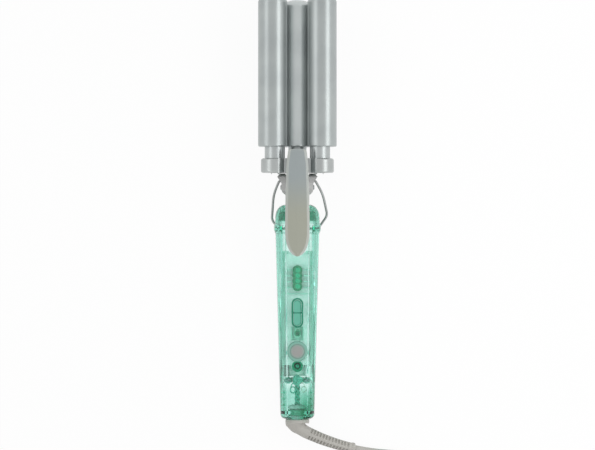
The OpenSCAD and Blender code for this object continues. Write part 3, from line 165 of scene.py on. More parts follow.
class Shader:
    """Node tree of one material or of the world."""

    def __init__(self, owner: bpy.types.ID) -> None:
        """Empties the owner's node tree.

        Args:
            owner: The material or world.
        """
        owner.use_nodes = True
        self.tree = owner.node_tree
        self.tree.nodes.clear()

    def node(
        self,
        kind: str,
        settings: Mapping[str, Setting] | None = None,
        sockets: Mapping[Union[int, str], object] | None = None,
        out: Union[int, str] = 0,
    ) -> Term:
        """Adds a node.

        Args:
            kind: Blender's name for the node's type.
            settings: What is set on it before its sockets.
            sockets: Values, or terms to link, by socket name or number.
            out: The output that is returned.

        Returns:
            The chosen output.
        """
        made = self.tree.nodes.new(kind)
        for key, value in (settings or {}).items():
            setattr(made, key, value)
        for key, value in (sockets or {}).items():
            if isinstance(value, Term):
                self.tree.links.new(value.socket, made.inputs[key])
            else:
                made.inputs[key].default_value = value
        outputs = made.outputs
        return Term(self, outputs[out]) if len(outputs) else Term(self, made.inputs[0])

    def place(self) -> Term:
        """Position on the object, in metres."""
        return self.node("ShaderNodeTexCoord", out="Object")

    def axis(self, axis: Axis) -> Term:
        """Position along one axis, in metres."""
        return self.node("ShaderNodeSeparateXYZ", sockets={0: self.place()}, out=axis.value)

    def vector(self, operation: str, *sockets: object, out: Union[int, str] = 0) -> Term:
        """Adds a Vector Math node."""
        values = dict(enumerate(sockets))
        return self.node("ShaderNodeVectorMath", {"operation": operation}, values, out)

    def noise(
        self, per_metre: float, detail: float, stretch: Point = (1, 1, 1), rough: float = 0.5
    ) -> Term:
        """Cloudy pattern from 0 to 1.

        Args:
            per_metre: How many features there are in a metre.
            detail: Finer layers on top.
            stretch: Scale along each axis.
            rough: Strength of the finer layers.

        Returns:
            The pattern's value.
        """
        scaled = self.vector("MULTIPLY", self.place(), stretch)
        return self.node(
            "ShaderNodeTexNoise",
            sockets={"Vector": scaled, "Scale": per_metre, "Detail": detail, "Roughness": rough},
        )

    def reach(self, x: float, y: float, straight: float = 0.0) -> Term:
        """Distance from a place, or from a straight run through it along Y, seen from above.

        Args:
            x: The place's X, in metres.
            y: Its Y.
            straight: Half the length of the straight run.

        Returns:
            The distance, in metres.
        """
        apart = self.vector("SUBTRACT", self.place(), (x, y, 0))
        past = self.vector("SUBTRACT", self.vector("ABSOLUTE", apart), (0, straight, 0))
        held = self.vector("MAXIMUM", past, (0, 0, 0))
        return self.vector("LENGTH", self.vector("MULTIPLY", held, (1, 1, 0)), out="Value")

    def spots(self, spots: Sequence[Spot], blur: float) -> Term:
        """Round patches seen from above.

        Args:
            spots: Place and radius of each, in metres.
            blur: Width of their soft rim.

        Returns:
            1 inside a patch and 0 outside them all.
        """
        found: Term | None = None
        for x, y, radius in spots:
            spot = 1 - self.step(self.reach(x, y), radius - blur, radius)
            found = spot if found is None else found | spot
        return found

    def facing_up(self) -> Term:
        """1 where the surface lies flat, 0 where it stands upright."""
        normal = self.node("ShaderNodeTexCoord", out="Normal")
        return self.node("ShaderNodeSeparateXYZ", sockets={0: normal}, out="Z")

    def step(self, value: Operand, start: float, end: float) -> Term:
        """Eased 0 to 1 as a value passes from start to end.

        Args:
            value: What is followed.
            start: Where it gives 0.
            end: Where it gives 1.

        Returns:
            The eased value.
        """
        return self.node(
            "ShaderNodeMapRange",
            {"interpolation_type": "SMOOTHSTEP"},
            {"Value": value, "From Min": start, "From Max": end},
        )

    def mix(
        self, factor: Operand, a: Union[Term, Colour], b: Union[Term, Colour], way: str = "MIX"
    ) -> Term:
        """Blend of two colours.

        Args:
            factor: Share of the second colour.
            a: First colour.
            b: Second colour.
            way: Blender's name for the way of blending.

        Returns:
            The blended colour.
        """
        return self.node(
            "ShaderNodeMix",
            {"data_type": "RGBA", "blend_type": way},
            {MIX_FACTOR: factor, MIX_A: a, MIX_B: b},
            out=MIX_RESULT,
        )

    def bump(self, height: Term, depth: float, strength: float) -> Term:
        """Normal of a surface raised by a pattern; depth is in metres."""
        sockets = {"Height": height, "Distance": depth, "Strength": strength}
        return self.node("ShaderNodeBump", sockets=sockets)

    def rays(self, *kinds: Ray) -> Term:
        """1 for the named kinds of ray, and 0 for the rest.

        Args:
            *kinds: One or more kinds.

        Returns:
            The mask.
        """
        path = self.node("ShaderNodeLightPath")
        found = path.other(kinds[0].value)
        for kind in kinds[1:]:
            found = found | path.other(kind.value)
        return found

    def surface(self, sockets: Mapping[str, object]) -> Term:
        """Principled surface."""
        return self.node("ShaderNodeBsdfPrincipled", sockets=sockets)

    def plain(self, sockets: Mapping[str, object]) -> None:
        """Principled surface that is the whole material."""
        self.finish(self.surface(sockets))

    def blend(self, factor: Term, a: Term, b: Term) -> Term:
        """Mix of two surfaces."""
        return self.node("ShaderNodeMixShader", sockets={0: factor, 1: a, 2: b})

    def finish(self, surface: Term, volume: Term | None = None) -> None:
        """Joins the surface, and a volume if there is one, to the output.

        Args:
            surface: Shader of the surface.
            volume: Shader of the inside.
        """
        sockets = {"Surface": surface}
        if volume is not None:
            sockets["Volume"] = volume
        self.node("ShaderNodeOutputMaterial", sockets=sockets)


# ---- finishes ----


@dataclass(frozen=True)
class Finish:
    """A named finish; each kind says how its surface is shaded."""

    name: str

    def shade(self, shader: Shader) -> None:
        """Builds the finish's nodes."""
        raise NotImplementedError

    def material(self) -> bpy.types.Material:
        """The finish's material, made on first use.

        Returns:
            The material.
        """
        found = bpy.data.materials.get(self.name)
        if found is None:
            found = bpy.data.materials.new(self.name)
            self.shade(Shader(found))
        return found

    def on_parts(self, *names: str) -> None:
        """Puts the finish on carried-over parts.

        Args:
            *names: The parts' names.
        """
        for name in names:
            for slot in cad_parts[name].material_slots:
                slot.material = self.material()
            log.info("%s finished in %s", name, self.name)

    def on_piece(self, piece: bpy.types.Object, slot: str) -> None:
        """Puts the finish on a new piece.

        Args:
            piece: The new piece.
            slot: The slot's name; not used.
        """
        piece.data.materials.clear()
        piece.data.materials.append(self.material())


@dataclass(frozen=True)
class SatinMetal(Finish):
    """Coated or bare metal with a fine grain and a slow change of tone."""

    colour: str
    deep: str
    roughness: float = 0.3
    metallic: float = 0.95
    grain: Point = (1, 1, 1)
    grain_per_metre: float = 3000
    grain_depth: float = 6e-6
    grain_strength: float = 0.6
    grain_tone: float = 0.12
    grain_haze: float = 0.05
    drift_per_metre: float = 34
    drift_run: Pair = (0.3, 0.72)
    smudge: float = 0.05
    smudges_per_metre: float = 140
    smudge_edge: float = 0.62

    def shade(self, shader: Shader) -> None:
        """Grain in the bump, smudges in the roughness, and a slow drift between two tones.

        Args:
            shader: Node tree to build in.
        """
        grain = shader.noise(self.grain_per_metre, 3, self.grain)
        drift = shader.noise(self.drift_per_metre, 3)
        smudges = shader.noise(self.smudges_per_metre, 4, rough=self.smudge_edge)
        share = shader.step(drift, *self.drift_run)
        colour = shader.mix(share, srgb(self.colour), srgb(self.deep))
        rough = self.roughness + (smudges - 0.5) * self.smudge + (grain - 0.5) * self.grain_haze
        shader.plain(
            {
                "Base Color": shader.mix(grain * self.grain_tone, colour, srgb(self.deep)),
                "Metallic": self.metallic,
                "Roughness": rough,
                "Normal": shader.bump(grain, self.grain_depth, self.grain_strength),
            }
        )


@dataclass(frozen=True)
class MouldedPlastic(Finish):
    """Plastic with a spark-eroded texture, which may run from one colour to another along Y."""

    colour: str
    second: str
    roughness: float = 0.42
    run: Pair | None = None
    run_mottle: float = 0.2
    texture_per_metre: float = 2400
    texture_depth: float = 1.5e-5
    texture_strength: float = 0.7
    texture_tone: float = 0.1
    texture_haze: float = 0.06
    mottle: float = 0.35
    mottles_per_metre: float = 90
    mottle_edge: float = 0.6
    mottle_haze: float = 0.12
    slow_per_metre: float = 22
    second_share: float = 0.3
    bevel: str | None = None
    highlight_slope: Pair = (0.3, 0.5)
    flat_slope: Pair = (0.86, 0.97)

    def shade(self, shader: Shader) -> None:
        """Pebbled texture, mottled tone, and if set a colour run and painted highlight on slopes.

        Args:
            shader: Node tree to build in.
        """
        pebble = shader.noise(self.texture_per_metre, 2)
        mottle = shader.noise(self.mottles_per_metre, 4, rough=self.mottle_edge) - 0.5
        if self.run is None:
            slow = shader.noise(self.slow_per_metre, 2) - 0.5
            shift = mottle * self.mottle + slow * self.mottle + self.second_share
        else:
            # On the lever this run is painted shade for the change in its slope.
            shift = shader.step(shader.axis(Axis.Y), *self.run) + mottle * self.run_mottle
        colour = shader.mix(shift, srgb(self.colour), srgb(self.second))
        # Painted highlight: faces that slope sideways, such as the lever's bevels, are painted
        # lighter as if a side lamp caught them.
        if self.bevel is not None:
            up = shader.facing_up()
            slope = shader.step(up, *self.highlight_slope) * (1 - shader.step(up, *self.flat_slope))
            colour = shader.mix(slope, colour, srgb(self.bevel))
        pits = (1 - pebble) * self.texture_tone
        rough = self.roughness + mottle * self.mottle_haze + (pebble - 0.5) * self.texture_haze
        shader.plain(
            {
                "Base Color": shader.mix(pits, colour, srgb(self.second), "MULTIPLY"),
                "Roughness": rough,
                "Normal": shader.bump(pebble, self.texture_depth, self.texture_strength),
            }
        )


def mould(name: str, colour: str, second: str, roughness: float, *parts: str) -> None:
    """Puts a plain moulded finish on carried-over parts."""
    MouldedPlastic(name, colour, second, roughness).on_parts(*parts)


@dataclass(frozen=True)
class Zone:
    """Stretch of a part with a deeper tint.

    The tint sets in from the first value of each run to the second.
    """

    tint: str
    along_y: Pair
    along_x: Pair | None = None
    rippled: bool = False

    def share(self, shader: Shader) -> Term:
        """0 outside the zone and 1 inside it.

        Args:
            shader: Node tree to build in.

        Returns:
            The share of the zone's tint.
        """
        found = self._past(shader, Axis.Y, self.along_y)
        if self.along_x is not None:
            found = found * self._past(shader, Axis.X, self.along_x)
        return found

    @staticmethod
    def _past(shader: Shader, axis: Axis, run: Pair) -> Term:
        """Eased 0 to 1 along an axis, in either direction.

        Args:
            shader: Node tree to build in.
            axis: Axis to follow.
            run: Where it gives 0, and where it gives 1.

        Returns:
            The eased value.
        """
        if run[0] < run[1]:
            return shader.step(shader.axis(axis), *run)
        return 1 - shader.step(shader.axis(axis), run[1], run[0])


@dataclass(frozen=True)
class ClearPlastic(Finish):
    """Tinted see-through plastic that deepens with its thickness and lets the lamps through."""

    tint: str
    edge: str
    deep: str
    soaks: Point
    posts: tuple[Spot, ...] = ()
    zones: tuple[Zone, ...] = ()
    density: float = 64.0
    roughness: float = 0.04
    shade_tint: str = "f2fcf8"
    edge_run: Pair = (0.15, 0.62)
    edge_blend: float = 0.5
    haze_per_metre: float = 260
    haze_run: Pair = (0.35, 0.75)
    haze_tint: float = 0.5
    haze_rough: float = 0.03
    flow_per_metre: float = 70
    flow_stretch: Point = (1.0, 0.25, 1.0)
    flow_depth: float = 4e-5
    relief_strength: float = 0.5
    ripples_per_metre: float = 420
    ripple: float = 5e-4
    post_blur: float = 0.0006
    post_clouds_per_metre: float = 500
    post_least: float = 0.78
    post_cloud: float = 0.3

    def shade(self, shader: Shader) -> None:
        """Flow marks, a light haze, painted shade on the edges, deeper posts, and absorption inside
        the wall.

        Args:
            shader: Node tree to build in.
        """
        flow = shader.noise(self.flow_per_metre, 3, self.flow_stretch)
        haze = shader.noise(self.haze_per_metre, 3)
        hazed = shader.step(haze, *self.haze_run) * self.haze_tint
        base = shader.mix(hazed, WHITE, srgb(self.tint))
        # Painted shade: the colour turns to the darker edge green as the surface turns away,
        # standing in for the dark rims that light reflected inside the wall gives.
        facing = shader.node(
            "ShaderNodeLayerWeight", sockets={"Blend": self.edge_blend}, out="Facing"
        )
        base = shader.mix(shader.step(facing, *self.edge_run), base, srgb(self.edge))
        if self.posts:
            cloud = shader.noise(self.post_clouds_per_metre, 3) * self.post_cloud
            post = shader.spots(self.posts, self.post_blur) * (self.post_least + cloud)
            base = shader.mix(post, base, srgb(self.deep))
        normal = shader.bump(flow, self.flow_depth, self.relief_strength)
        for zone in self.zones:
            share = zone.share(shader)
            base = shader.mix(share, base, srgb(zone.tint), "MULTIPLY")
            if zone.rippled:
                ripple = shader.noise(self.ripples_per_metre, 2) * share
                height = flow * (self.flow_depth / self.ripple) + ripple
                normal = shader.bump(height, self.ripple, self.relief_strength)
        glass = shader.surface(
            {
                "Base Color": base,
                "Roughness": self.roughness + (haze - 0.5) * self.haze_rough,
                "Transmission Weight": 1.0,
                "IOR": ACRYLIC_IOR,
                "Normal": normal,
            }
        )
        lamp_light = shader.node(
            "ShaderNodeBsdfTransparent", sockets={"Color": srgb(self.shade_tint)}
        )
        shared = shader.blend(shader.rays(Ray.SHADOW), glass, lamp_light)
        volume = shader.node(
            "ShaderNodeVolumeAbsorption",
            sockets={"Color": (*self.soaks, 1.0), "Density": self.density},
        )
        shader.finish(shared, volume)


@dataclass(frozen=True)
class TranslucentPlastic(Finish):
    """Milky tinted plastic: partly see-through, with light spread inside it."""

    colour: str
    second: str
    transmission: float = 0.4
    roughness: float = 0.25
    clouds_per_metre: float = 190
    cloud_edge: float = 0.6
    cloud_run: Pair = (0.3, 0.7)
    cloud_haze: float = 0.15
    relief_per_metre: float = 1600
    relief: float = 1.2e-5
    relief_strength: float = 0.5
    raised: str = ""
    raised_shade_from: Pair = (0.0, 1.0)
    bead: str = ""
    beads: tuple[Spot, ...] = ()
    bead_blur: float = 0.0014

    def shade(self, shader: Shader) -> None:
        """Cloudy tone under a gloss, a relief, painted shade on what is raised, and a set colour on
        beads.

        Args:
            shader: Node tree to build in.
        """
        cloud = shader.noise(self.clouds_per_metre, 4, rough=self.cloud_edge)
        fine = shader.noise(self.relief_per_metre, 2)
        share = shader.step(cloud, *self.cloud_run)
        colour = shader.mix(share, srgb(self.colour), srgb(self.second))
        # Painted shade: what stands above the given heights, such as walls and fins, is tinted
        # darker.
        if self.raised:
            height = shader.step(shader.axis(Axis.Z), *self.raised_shade_from)
            colour = shader.mix(height, colour, srgb(self.raised))
        # Beads: a set colour on given spots; on the light guide they are painted highlights.
        if self.beads:
            bead = shader.spots(self.beads, self.bead_blur)
            colour = shader.mix(bead, colour, srgb(self.bead))
        shader.plain(
            {
                "Base Color": colour,
                "Roughness": self.roughness + (cloud - 0.5) * self.cloud_haze,
                "Transmission Weight": self.transmission,
                "IOR": ACRYLIC_IOR,
                "Normal": shader.bump(fine, self.relief, self.relief_strength),
            }
        )


@dataclass(frozen=True)
class PressedKey(Finish):
    """Button finish with a paler middle and a tinted rim round a centre."""

    middle: str
    rim: str
    centre: Pair
    radii: Pair
    straight: float = 0.0
    roughness: float = 0.34
    clouds_per_metre: float = 300
    cloud_least: float = 0.3
    cloud_tone: float = 0.3
    cloud_haze: float = 0.14
    rings_per_metre: float = 9000
    relief: float = 1.5e-5
    relief_strength: float = 0.4

    def shade(self, shader: Shader) -> None:
        """Fades from the middle's colour to the rim's, with a turned grain.

        Args:
            shader: Node tree to build in.
        """
        radius = shader.reach(*self.centre, self.straight)
        cloud = shader.noise(self.clouds_per_metre, 3)
        edge = shader.step(radius, *self.radii)
        colour = shader.mix(edge, srgb(self.middle), srgb(self.rim))
        turned = radius * self.rings_per_metre
        rings = shader.node("ShaderNodeMath", {"operation": "SINE"}, {0: turned})
        tone = (cloud - self.cloud_least) * self.cloud_tone
        shader.plain(
            {
                "Base Color": shader.mix(tone, colour, srgb(self.rim)),
                "Roughness": self.roughness + (cloud - 0.5) * self.cloud_haze,
                "Normal": shader.bump(rings + cloud, self.relief, self.relief_strength),
            }
        )


@dataclass(frozen=True)
class PrintedBoard(Finish):
    """Circuit board with tracks under its mask and tinned pads."""

    mask: str
    track: str
    pad: str
    roughness: float = 0.4
    tracks_per_metre: float = 150
    track_offset: float = 0.37
    track_width: float = 0.06
    track_blur: float = 0.2
    pads_per_metre: float = 420
    pad_radii: Pair = (0.16, 0.22)
    pad_share: float = 0.8
    pad_polish: float = 0.12
    relief: float = 3e-5
    relief_strength: float = 0.6

    def shade(self, shader: Shader) -> None:
        """Tracks from a brick pattern, pads from cells.

        Args:
            shader: Node tree to build in.
        """
        tracks = shader.node(
            "ShaderNodeTexBrick",
            {"offset": self.track_offset},
            {
                "Vector": shader.place(),
                "Scale": self.tracks_per_metre,
                "Mortar Size": self.track_width,
                "Mortar Smooth": self.track_blur,
            },
            out="Fac",
        )
        cells = shader.node(
            "ShaderNodeTexVoronoi",
            sockets={"Vector": shader.place(), "Scale": self.pads_per_metre},
        )
        pads = 1 - shader.step(cells, *self.pad_radii)
        colour = shader.mix(tracks, srgb(self.mask), srgb(self.track))
        tinned = pads * self.pad_share
        shader.plain(
            {
                "Base Color": shader.mix(tinned, colour, srgb(self.pad)),
                "Metallic": tinned,
                "Roughness": self.roughness - pads * self.pad_polish,
                "Normal": shader.bump(tracks + pads, self.relief, self.relief_strength),
            }
        )


# ---- meshes ----


def add_object(name: str, data: bpy.types.ID) -> bpy.types.Object:
    """Makes an object and puts it in the scene.

    Args:
        name: Its name.
        data: Its mesh, curve, lamp or camera.

    Returns:
        The object.
    """
    made = bpy.data.objects.new(name, data)
    bpy.context.scene.collection.objects.link(made)
    return made


def new_piece(
    name: str, points: Sequence[Point], faces: Sequence[Sequence[int]], body: Body
) -> bpy.types.Object:
    """Makes a smooth-shaded piece that rides on a body.

    Args:
        name: The piece's name.
        points: Corners, in metres.
        faces: Corner numbers of each face.
        body: What it rides on.

    Returns:
        The piece.
    """
    mesh = bpy.data.meshes.new(name)
    mesh.from_pydata([tuple(p) for p in points], [], [tuple(f) for f in faces])
    shape = bmesh.new()
    shape.from_mesh(mesh)
    bmesh.ops.recalc_face_normals(shape, faces=shape.faces)
    shape.to_mesh(mesh)
    shape.free()
    mesh.polygons.foreach_set("use_smooth", [True] * len(mesh.polygons))
    piece = add_object(name, mesh)
    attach(piece, body.value)
    log.info("%s: %d faces, rides on %s", name, len(mesh.polygons), body.value)
    return piece


class Line:
    """A smooth line through a few points, with a frame carried along it."""

    def __init__(self, points: Sequence[Point]) -> None:
        """Takes the points that the line passes through."""
        self.points = [Vector(p) for p in points]

    def at(self, u: float) -> Vector:
        """Point at a parameter that counts the given points.

        Args:
            u: 0 at the first point, 1 at the next, and so on.

        Returns:
            The point.
        """
        last = len(self.points) - 1
        i = min(int(u), last - 1)
        t = u - i
        a, b = self.points[max(i - 1, 0)], self.points[i]
        c, d = self.points[i + 1], self.points[min(i + 2, last)]
        slope, bend, twist = c - a, 2 * a - 5 * b + 4 * c - d, 3 * b - a - 3 * c + d
        return 0.5 * (2 * b + slope * t + bend * t * t + twist * t**3)

    def stations(self, each: int) -> list[float]:
        """Parameters along the whole line, so many to each stretch between two points."""
        return [i / each for i in range(each * (len(self.points) - 1) + 1)]

    def frames(self, stations: Sequence[float]) -> list[tuple[Vector, Vector, Vector]]:
        """Point and two cross directions at each station; the first starts out upright.

        Args:
            stations: Parameters along the line.

        Returns:
            One (point, first direction, second direction) for each station.
        """
        spots = [self.at(u) for u in stations]
        normal, found = Vector((0, 0, 1)), []
        for i, spot in enumerate(spots):
            ahead = (spots[min(i + 1, len(spots) - 1)] - spots[max(i - 1, 0)]).normalized()
            normal = (normal - ahead * normal.dot(ahead)).normalized()
            found.append((spot, normal.copy(), ahead.cross(normal)))
        return found

    def skin(
        self,
        name: str,
        stations: Sequence[float],
        sides: int,
        reach: Callable[[int, float], float],
        body: Body,
    ) -> bpy.types.Object:
        """Closed tube round the line.

        Args:
            name: The piece's name.
            stations: Parameters of its rings.
            sides: Corners of each ring.
            reach: Radius for a ring's number and an angle from the first cross direction.
            body: What it rides on.

        Returns:
            The piece.
        """
        rings = self.frames(stations)
        points: list[Vector] = []
        for i, (spot, first, second) in enumerate(rings):
            for k in range(sides):
                turn = 2 * math.pi * k / sides
                outward = math.cos(turn) * first + math.sin(turn) * second
                points.append(spot + reach(i, turn) * outward)
        faces = []
        for start in range(0, (len(rings) - 1) * sides, sides):
            for k in range(sides):
                a, b = start + k, start + (k + 1) % sides
                faces.append((a, b, b + sides, a + sides))
        faces.append(tuple(range(sides)))
        faces.append(tuple(range((len(rings) - 1) * sides, len(rings) * sides)))
        return new_piece(name, points, faces, body)


# ---- studio ----


@dataclass(frozen=True)
class Strip:
    """Long soft lamp beside the waver, turned to its axis.

    The angle counts degrees from straight up, positive towards +X. The aim is the Y and Z of the
    line that the lamp faces, and a glow of 1 looks white.
    """

    name: str
    angle: float
    away: float
    size: Pair
    glow: float
    aim: Pair = (-0.01, 0.02)

    def build(self) -> None:
        """Hangs the lamp."""
        data = bpy.data.lights.new(self.name, "AREA")
        data.shape = "RECTANGLE"
        data.size, data.size_y = self.size
        data.energy = self.glow * math.pi * self.size[0] * self.size[1]
        made = add_object(self.name, data)
        lean = math.radians(self.angle)
        y, z = self.aim
        made.location = (self.away * math.sin(lean), y, z + self.away * math.cos(lean))
        made.rotation_euler = (0, lean, 0)


@dataclass
class Studio:
    """Camera, pale floor and soft lamps."""

    view_width: float = 0.5103
    view_centre: Pair = (0.0001, -0.015)
    focus_height: float = 0.02
    distance: float = 2.4
    far: float = 50.0
    sensor: float = 36.0
    floor_half: float = 4.0
    floor_drop: float = 0.0003
    floor_tones: Pair = (0.9, 0.86)
    tooth_per_metre: float = 700
    tooth_share: float = 0.2
    bounces: int = 32
    paper: float = 0.93
    sky: float = 0.66
    zenith: float = 0.84
    zenith_run: Pair = (0.35, 0.98)
    strips: tuple[Strip, ...] = (
        Strip("strip_left", -50, 0.5, (0.22, 0.9), 0.85),
        Strip("strip_right", 46, 0.42, (0.2, 0.9), 1.6),
    )

    def camera(self) -> None:
        """Camera straight above the waver."""
        data = bpy.data.cameras.new("camera")
        data.sensor_width = self.sensor
        data.sensor_fit = "HORIZONTAL"
        data.lens = self.sensor * self.distance / self.view_width
        data.clip_end = self.far
        made = add_object("camera", data)
        made.location = (*self.view_centre, self.focus_height + self.distance)
        bpy.context.scene.camera = made

    def floor(self) -> None:
        """White floor that keeps a faint shadow."""
        half, z = self.floor_half, -self.floor_drop
        mesh = bpy.data.meshes.new("floor")
        corners = [(-half, -half, z), (half, -half, z), (half, half, z), (-half, half, z)]
        mesh.from_pydata(corners, [], [(0, 1, 2, 3)])
        made = add_object("floor", mesh)
        material = bpy.data.materials.new("floor_paper")
        shader = Shader(material)
        tooth = shader.noise(self.tooth_per_metre, 2) * self.tooth_share
        tone = shader.mix(tooth, *(grey(value) for value in self.floor_tones))
        lit = shader.node("ShaderNodeBsdfDiffuse", sockets={"Color": tone})
        white = shader.node("ShaderNodeEmission", sockets={"Color": WHITE, "Strength": 1.0})
        seen = shader.rays(Ray.CAMERA, Ray.GLOSSY, Ray.TRANSMISSION) * self.paper
        shader.finish(shader.blend(seen, lit, white))
        made.data.materials.append(material)

    def world(self) -> None:
        """Soft light all round, white to the camera and darker overhead in reflections."""
        world = bpy.data.worlds.new("studio")
        bpy.context.scene.world = world
        shader = Shader(world)
        way = shader.node("ShaderNodeTexCoord", out="Generated")
        height = shader.node("ShaderNodeSeparateXYZ", sockets={0: way}, out="Z")
        dim = shader.mix(shader.step(height, *self.zenith_run), WHITE, grey(self.zenith))
        light, mirrored, white = (
            shader.node("ShaderNodeBackground", sockets={"Color": colour, "Strength": strength})
            for colour, strength in ((WHITE, self.sky), (dim, 1.0), (WHITE, 1.0))
        )
        reflected = shader.blend(shader.rays(Ray.GLOSSY), light, mirrored)
        seen = shader.blend(shader.rays(Ray.CAMERA, Ray.TRANSMISSION), reflected, white)
        shader.node("ShaderNodeOutputWorld", sockets={"Surface": seen})

    def build(self) -> None:
        """Floor, world and lamps, with bounces enough for light to leave the thick plastic."""
        scene = bpy.context.scene
        scene.view_settings.view_transform = "Standard"
        for kind in ("max_bounces", "transmission_bounces", "glossy_bounces"):
            setattr(scene.cycles, kind, self.bounces)
        self.floor()
        self.world()
        for strip in self.strips:
            strip.build()
        log.info("studio: floor, world and %d strip lamps", len(self.strips))


# ---- cord ----


@dataclass
class CordSet:
    """Swivel boot, mains cord wound into a tied coil, and the plug beside it.

    Lengths are in millimetres. Places along the boot are shares of its length, and places along
    the coil are shares of a turn.
    """

    exit: Point = (0.0, -181.4, 14.6)
    route: tuple[Point, ...] = (
        (0, -0.5, 0), (0, -2, 0), (0, -4, 0), (1.4, -7.2, 0), (6, -10.8, -0.2), (13.5, -14.4, -0.8),
        (22, -18, -1.8), (31, -21.2, -3.2), (40, -24, -4.9), (49, -26.2, -6.8), (58, -28, -8.7),
        (68, -29.6, -10.4), (80, -30.8, -11.6),
    )
    diameter: float = 6.0
    tube_start: int = 5
    relief_end: int = 9
    curve_sides: int = 5
    curve_steps: int = 4
    coil_middle: Pair = (80.0, -254.2)
    lower_radii: tuple[float, ...] = (42.0, 36.0, 30.0, 24.0)
    upper_radii: tuple[float, ...] = (24.0, 30.0, 36.0)
    climb_early: float = 0.25
    climb_run: float = 0.12
    lower_step: float = 0.86
    upper_step: float = 0.84
    step_run: float = 0.14
    points_per_turn: int = 24
    coil_short: float = 0.5
    plug_x: float = 33.0
    tail_shares: tuple[float, ...] = (0.2, 0.45, 0.7, 1.0)
    boot_rings: int = 330
    boot_sides: int = 72
    elbow_radius: float = 10.2
    sleeve_over: float = 2.4
    sleeve_end_over: float = 1.3
    knob_to: float = 0.18
    neck_at: float = 0.42
    ribs: int = 13
    ribs_from: float = 0.5
    ribs_to: float = 0.96
    rib_margin: float = 0.03
    slot: Pair = (0.3, 0.8)
    slot_blur: float = 0.14
    slot_depth: float = 1.45
    row_angles: Pair = (50.0, 130.0)
    row_half: float = 29.0
    row_blur: float = 7.0
    collar_over: float = 0.45
    collar_to: float = 0.992
    collar_blur: float = 0.01
    end_round: float = 0.5
    start_run: float = 0.02
    end_run: float = 0.015
    stated_length: float = 1.5

    def world_route(self) -> list[Point]:
        """The route's points in metres."""
        return [tuple((e + r) * MM for e, r in zip(self.exit, p)) for p in self.route]

    def coil_point(self, turns: float) -> Point:
        """Point of the coil after a number of turns, counted clockwise from its +Y side.

        Args:
            turns: Turns made, from 0.

        Returns:
            The point, in metres.
        """
        climb = len(self.lower_radii) - self.climb_early
        if turns < climb:
            radii, made, step = self.lower_radii, turns, self.lower_step
        else:
            radii, made, step = self.upper_radii, turns - climb, self.upper_step
        layer = min(int(made), len(radii) - 1)
        ahead = radii[min(layer + 1, len(radii) - 1)]
        radius = lerp(radii[layer], ahead, smooth((made - layer - step) / self.step_run))
        rise = smooth((turns - climb) / self.climb_run)
        height = self.diameter * (0.5 + rise)
        turn = math.pi / 2 - 2 * math.pi * turns
        x, y = self.coil_middle
        return (
            (x + radius * math.cos(turn)) * MM,
            (y + radius * math.sin(turn)) * MM,
            height * MM,
        )

    def path(self) -> list[Point]:
        """Every point of the cord from the boot to the plug, in metres.

        Returns:
            The points in order.
        """
        points = self.world_route()[self.tube_start : -1]
        turns = len(self.lower_radii) + len(self.upper_radii) - self.coil_short
        steps = range(int(turns * self.points_per_turn) + 1)
        points += [self.coil_point(i / self.points_per_turn) for i in steps]
        x, y, z = points[-1]
        points += [(lerp(x, self.plug_x * MM, share), y, z) for share in self.tail_shares]
        return points

    def cord(self) -> bpy.types.Object:
        """The cord as one smooth curve; its bevel is 1, so each knot's radius is the cord's.

        Returns:
            The curve's object.
        """
        points = [Vector(p) for p in self.path()]
        curve = bpy.data.curves.new("mains_cord", "CURVE")
        curve.dimensions = "3D"
        curve.bevel_depth = 1.0
        curve.bevel_resolution = self.curve_sides
        curve.resolution_u = self.curve_steps
        curve.use_fill_caps = True
        spline = curve.splines.new("BEZIER")
        spline.bezier_points.add(len(points) - 1)
        for i, (knot, point) in enumerate(zip(spline.bezier_points, points)):
            before, after = points[max(i - 1, 0)], points[min(i + 1, len(points) - 1)]
            pull = (after - before) / 6
            knot.handle_left_type = knot.handle_right_type = "FREE"
            knot.co = point
            knot.radius = self.diameter / 2 * MM
            knot.handle_left = point - pull
            knot.handle_right = point + pull
        made = add_object("mains_cord", curve)
        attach(made, Body.SWIVEL.value)
        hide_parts("cord_tube", "cord_coil", "cord_tail")
        length = sum((b - a).length for a, b in zip(points, points[1:]))
        log.info("mains_cord: %.3f m through %d points", length, len(points))
        return made

    def boot_radius(self, s: float) -> float:
        """Radius of the boot's plain shape at a share of its length.

        Args:
            s: Share of the boot's length.

        Returns:
            The radius, in millimetres.
        """
        sleeve = self.diameter / 2 + self.sleeve_over
        if s < self.neck_at:
            eased = smooth((s - self.knob_to) / (self.neck_at - self.knob_to))
            return lerp(self.elbow_radius, sleeve, eased)
        sleeve_end = self.diameter / 2 + self.sleeve_end_over
        return lerp(sleeve, sleeve_end, (s - self.neck_at) / (1 - self.neck_at))

    def slot_share(self, s: float, turn: float) -> float:
        """How deep the boot is cut at a place, from 0 to 1.

        Args:
            s: Share of the boot's length.
            turn: Angle round it from its top.

        Returns:
            1 on a slot's floor and 0 between slots.
        """
        span = (self.ribs_to - self.ribs_from - self.rib_margin) / self.ribs
        along = (s - self.ribs_from) / span
        if not 0 <= along < self.ribs:
            return 0.0
        across = along - math.floor(along)
        starts, ends = (smooth((across - edge) / self.slot_blur) for edge in self.slot)
        angle = abs(math.degrees(math.atan2(math.sin(turn), math.cos(turn))))
        off_row = min(abs(angle - row) for row in self.row_angles)
        return starts * (1 - ends) * (1 - smooth((off_row - self.row_half) / self.row_blur))

    def boot(self) -> bpy.types.Object:
        """Bent boot with two rows of slots and an end collar.

        Returns:
            The piece.
        """
        shares = [i / self.boot_rings for i in range(self.boot_rings + 1)]
        line = Line(self.world_route()[: self.relief_end + 1])

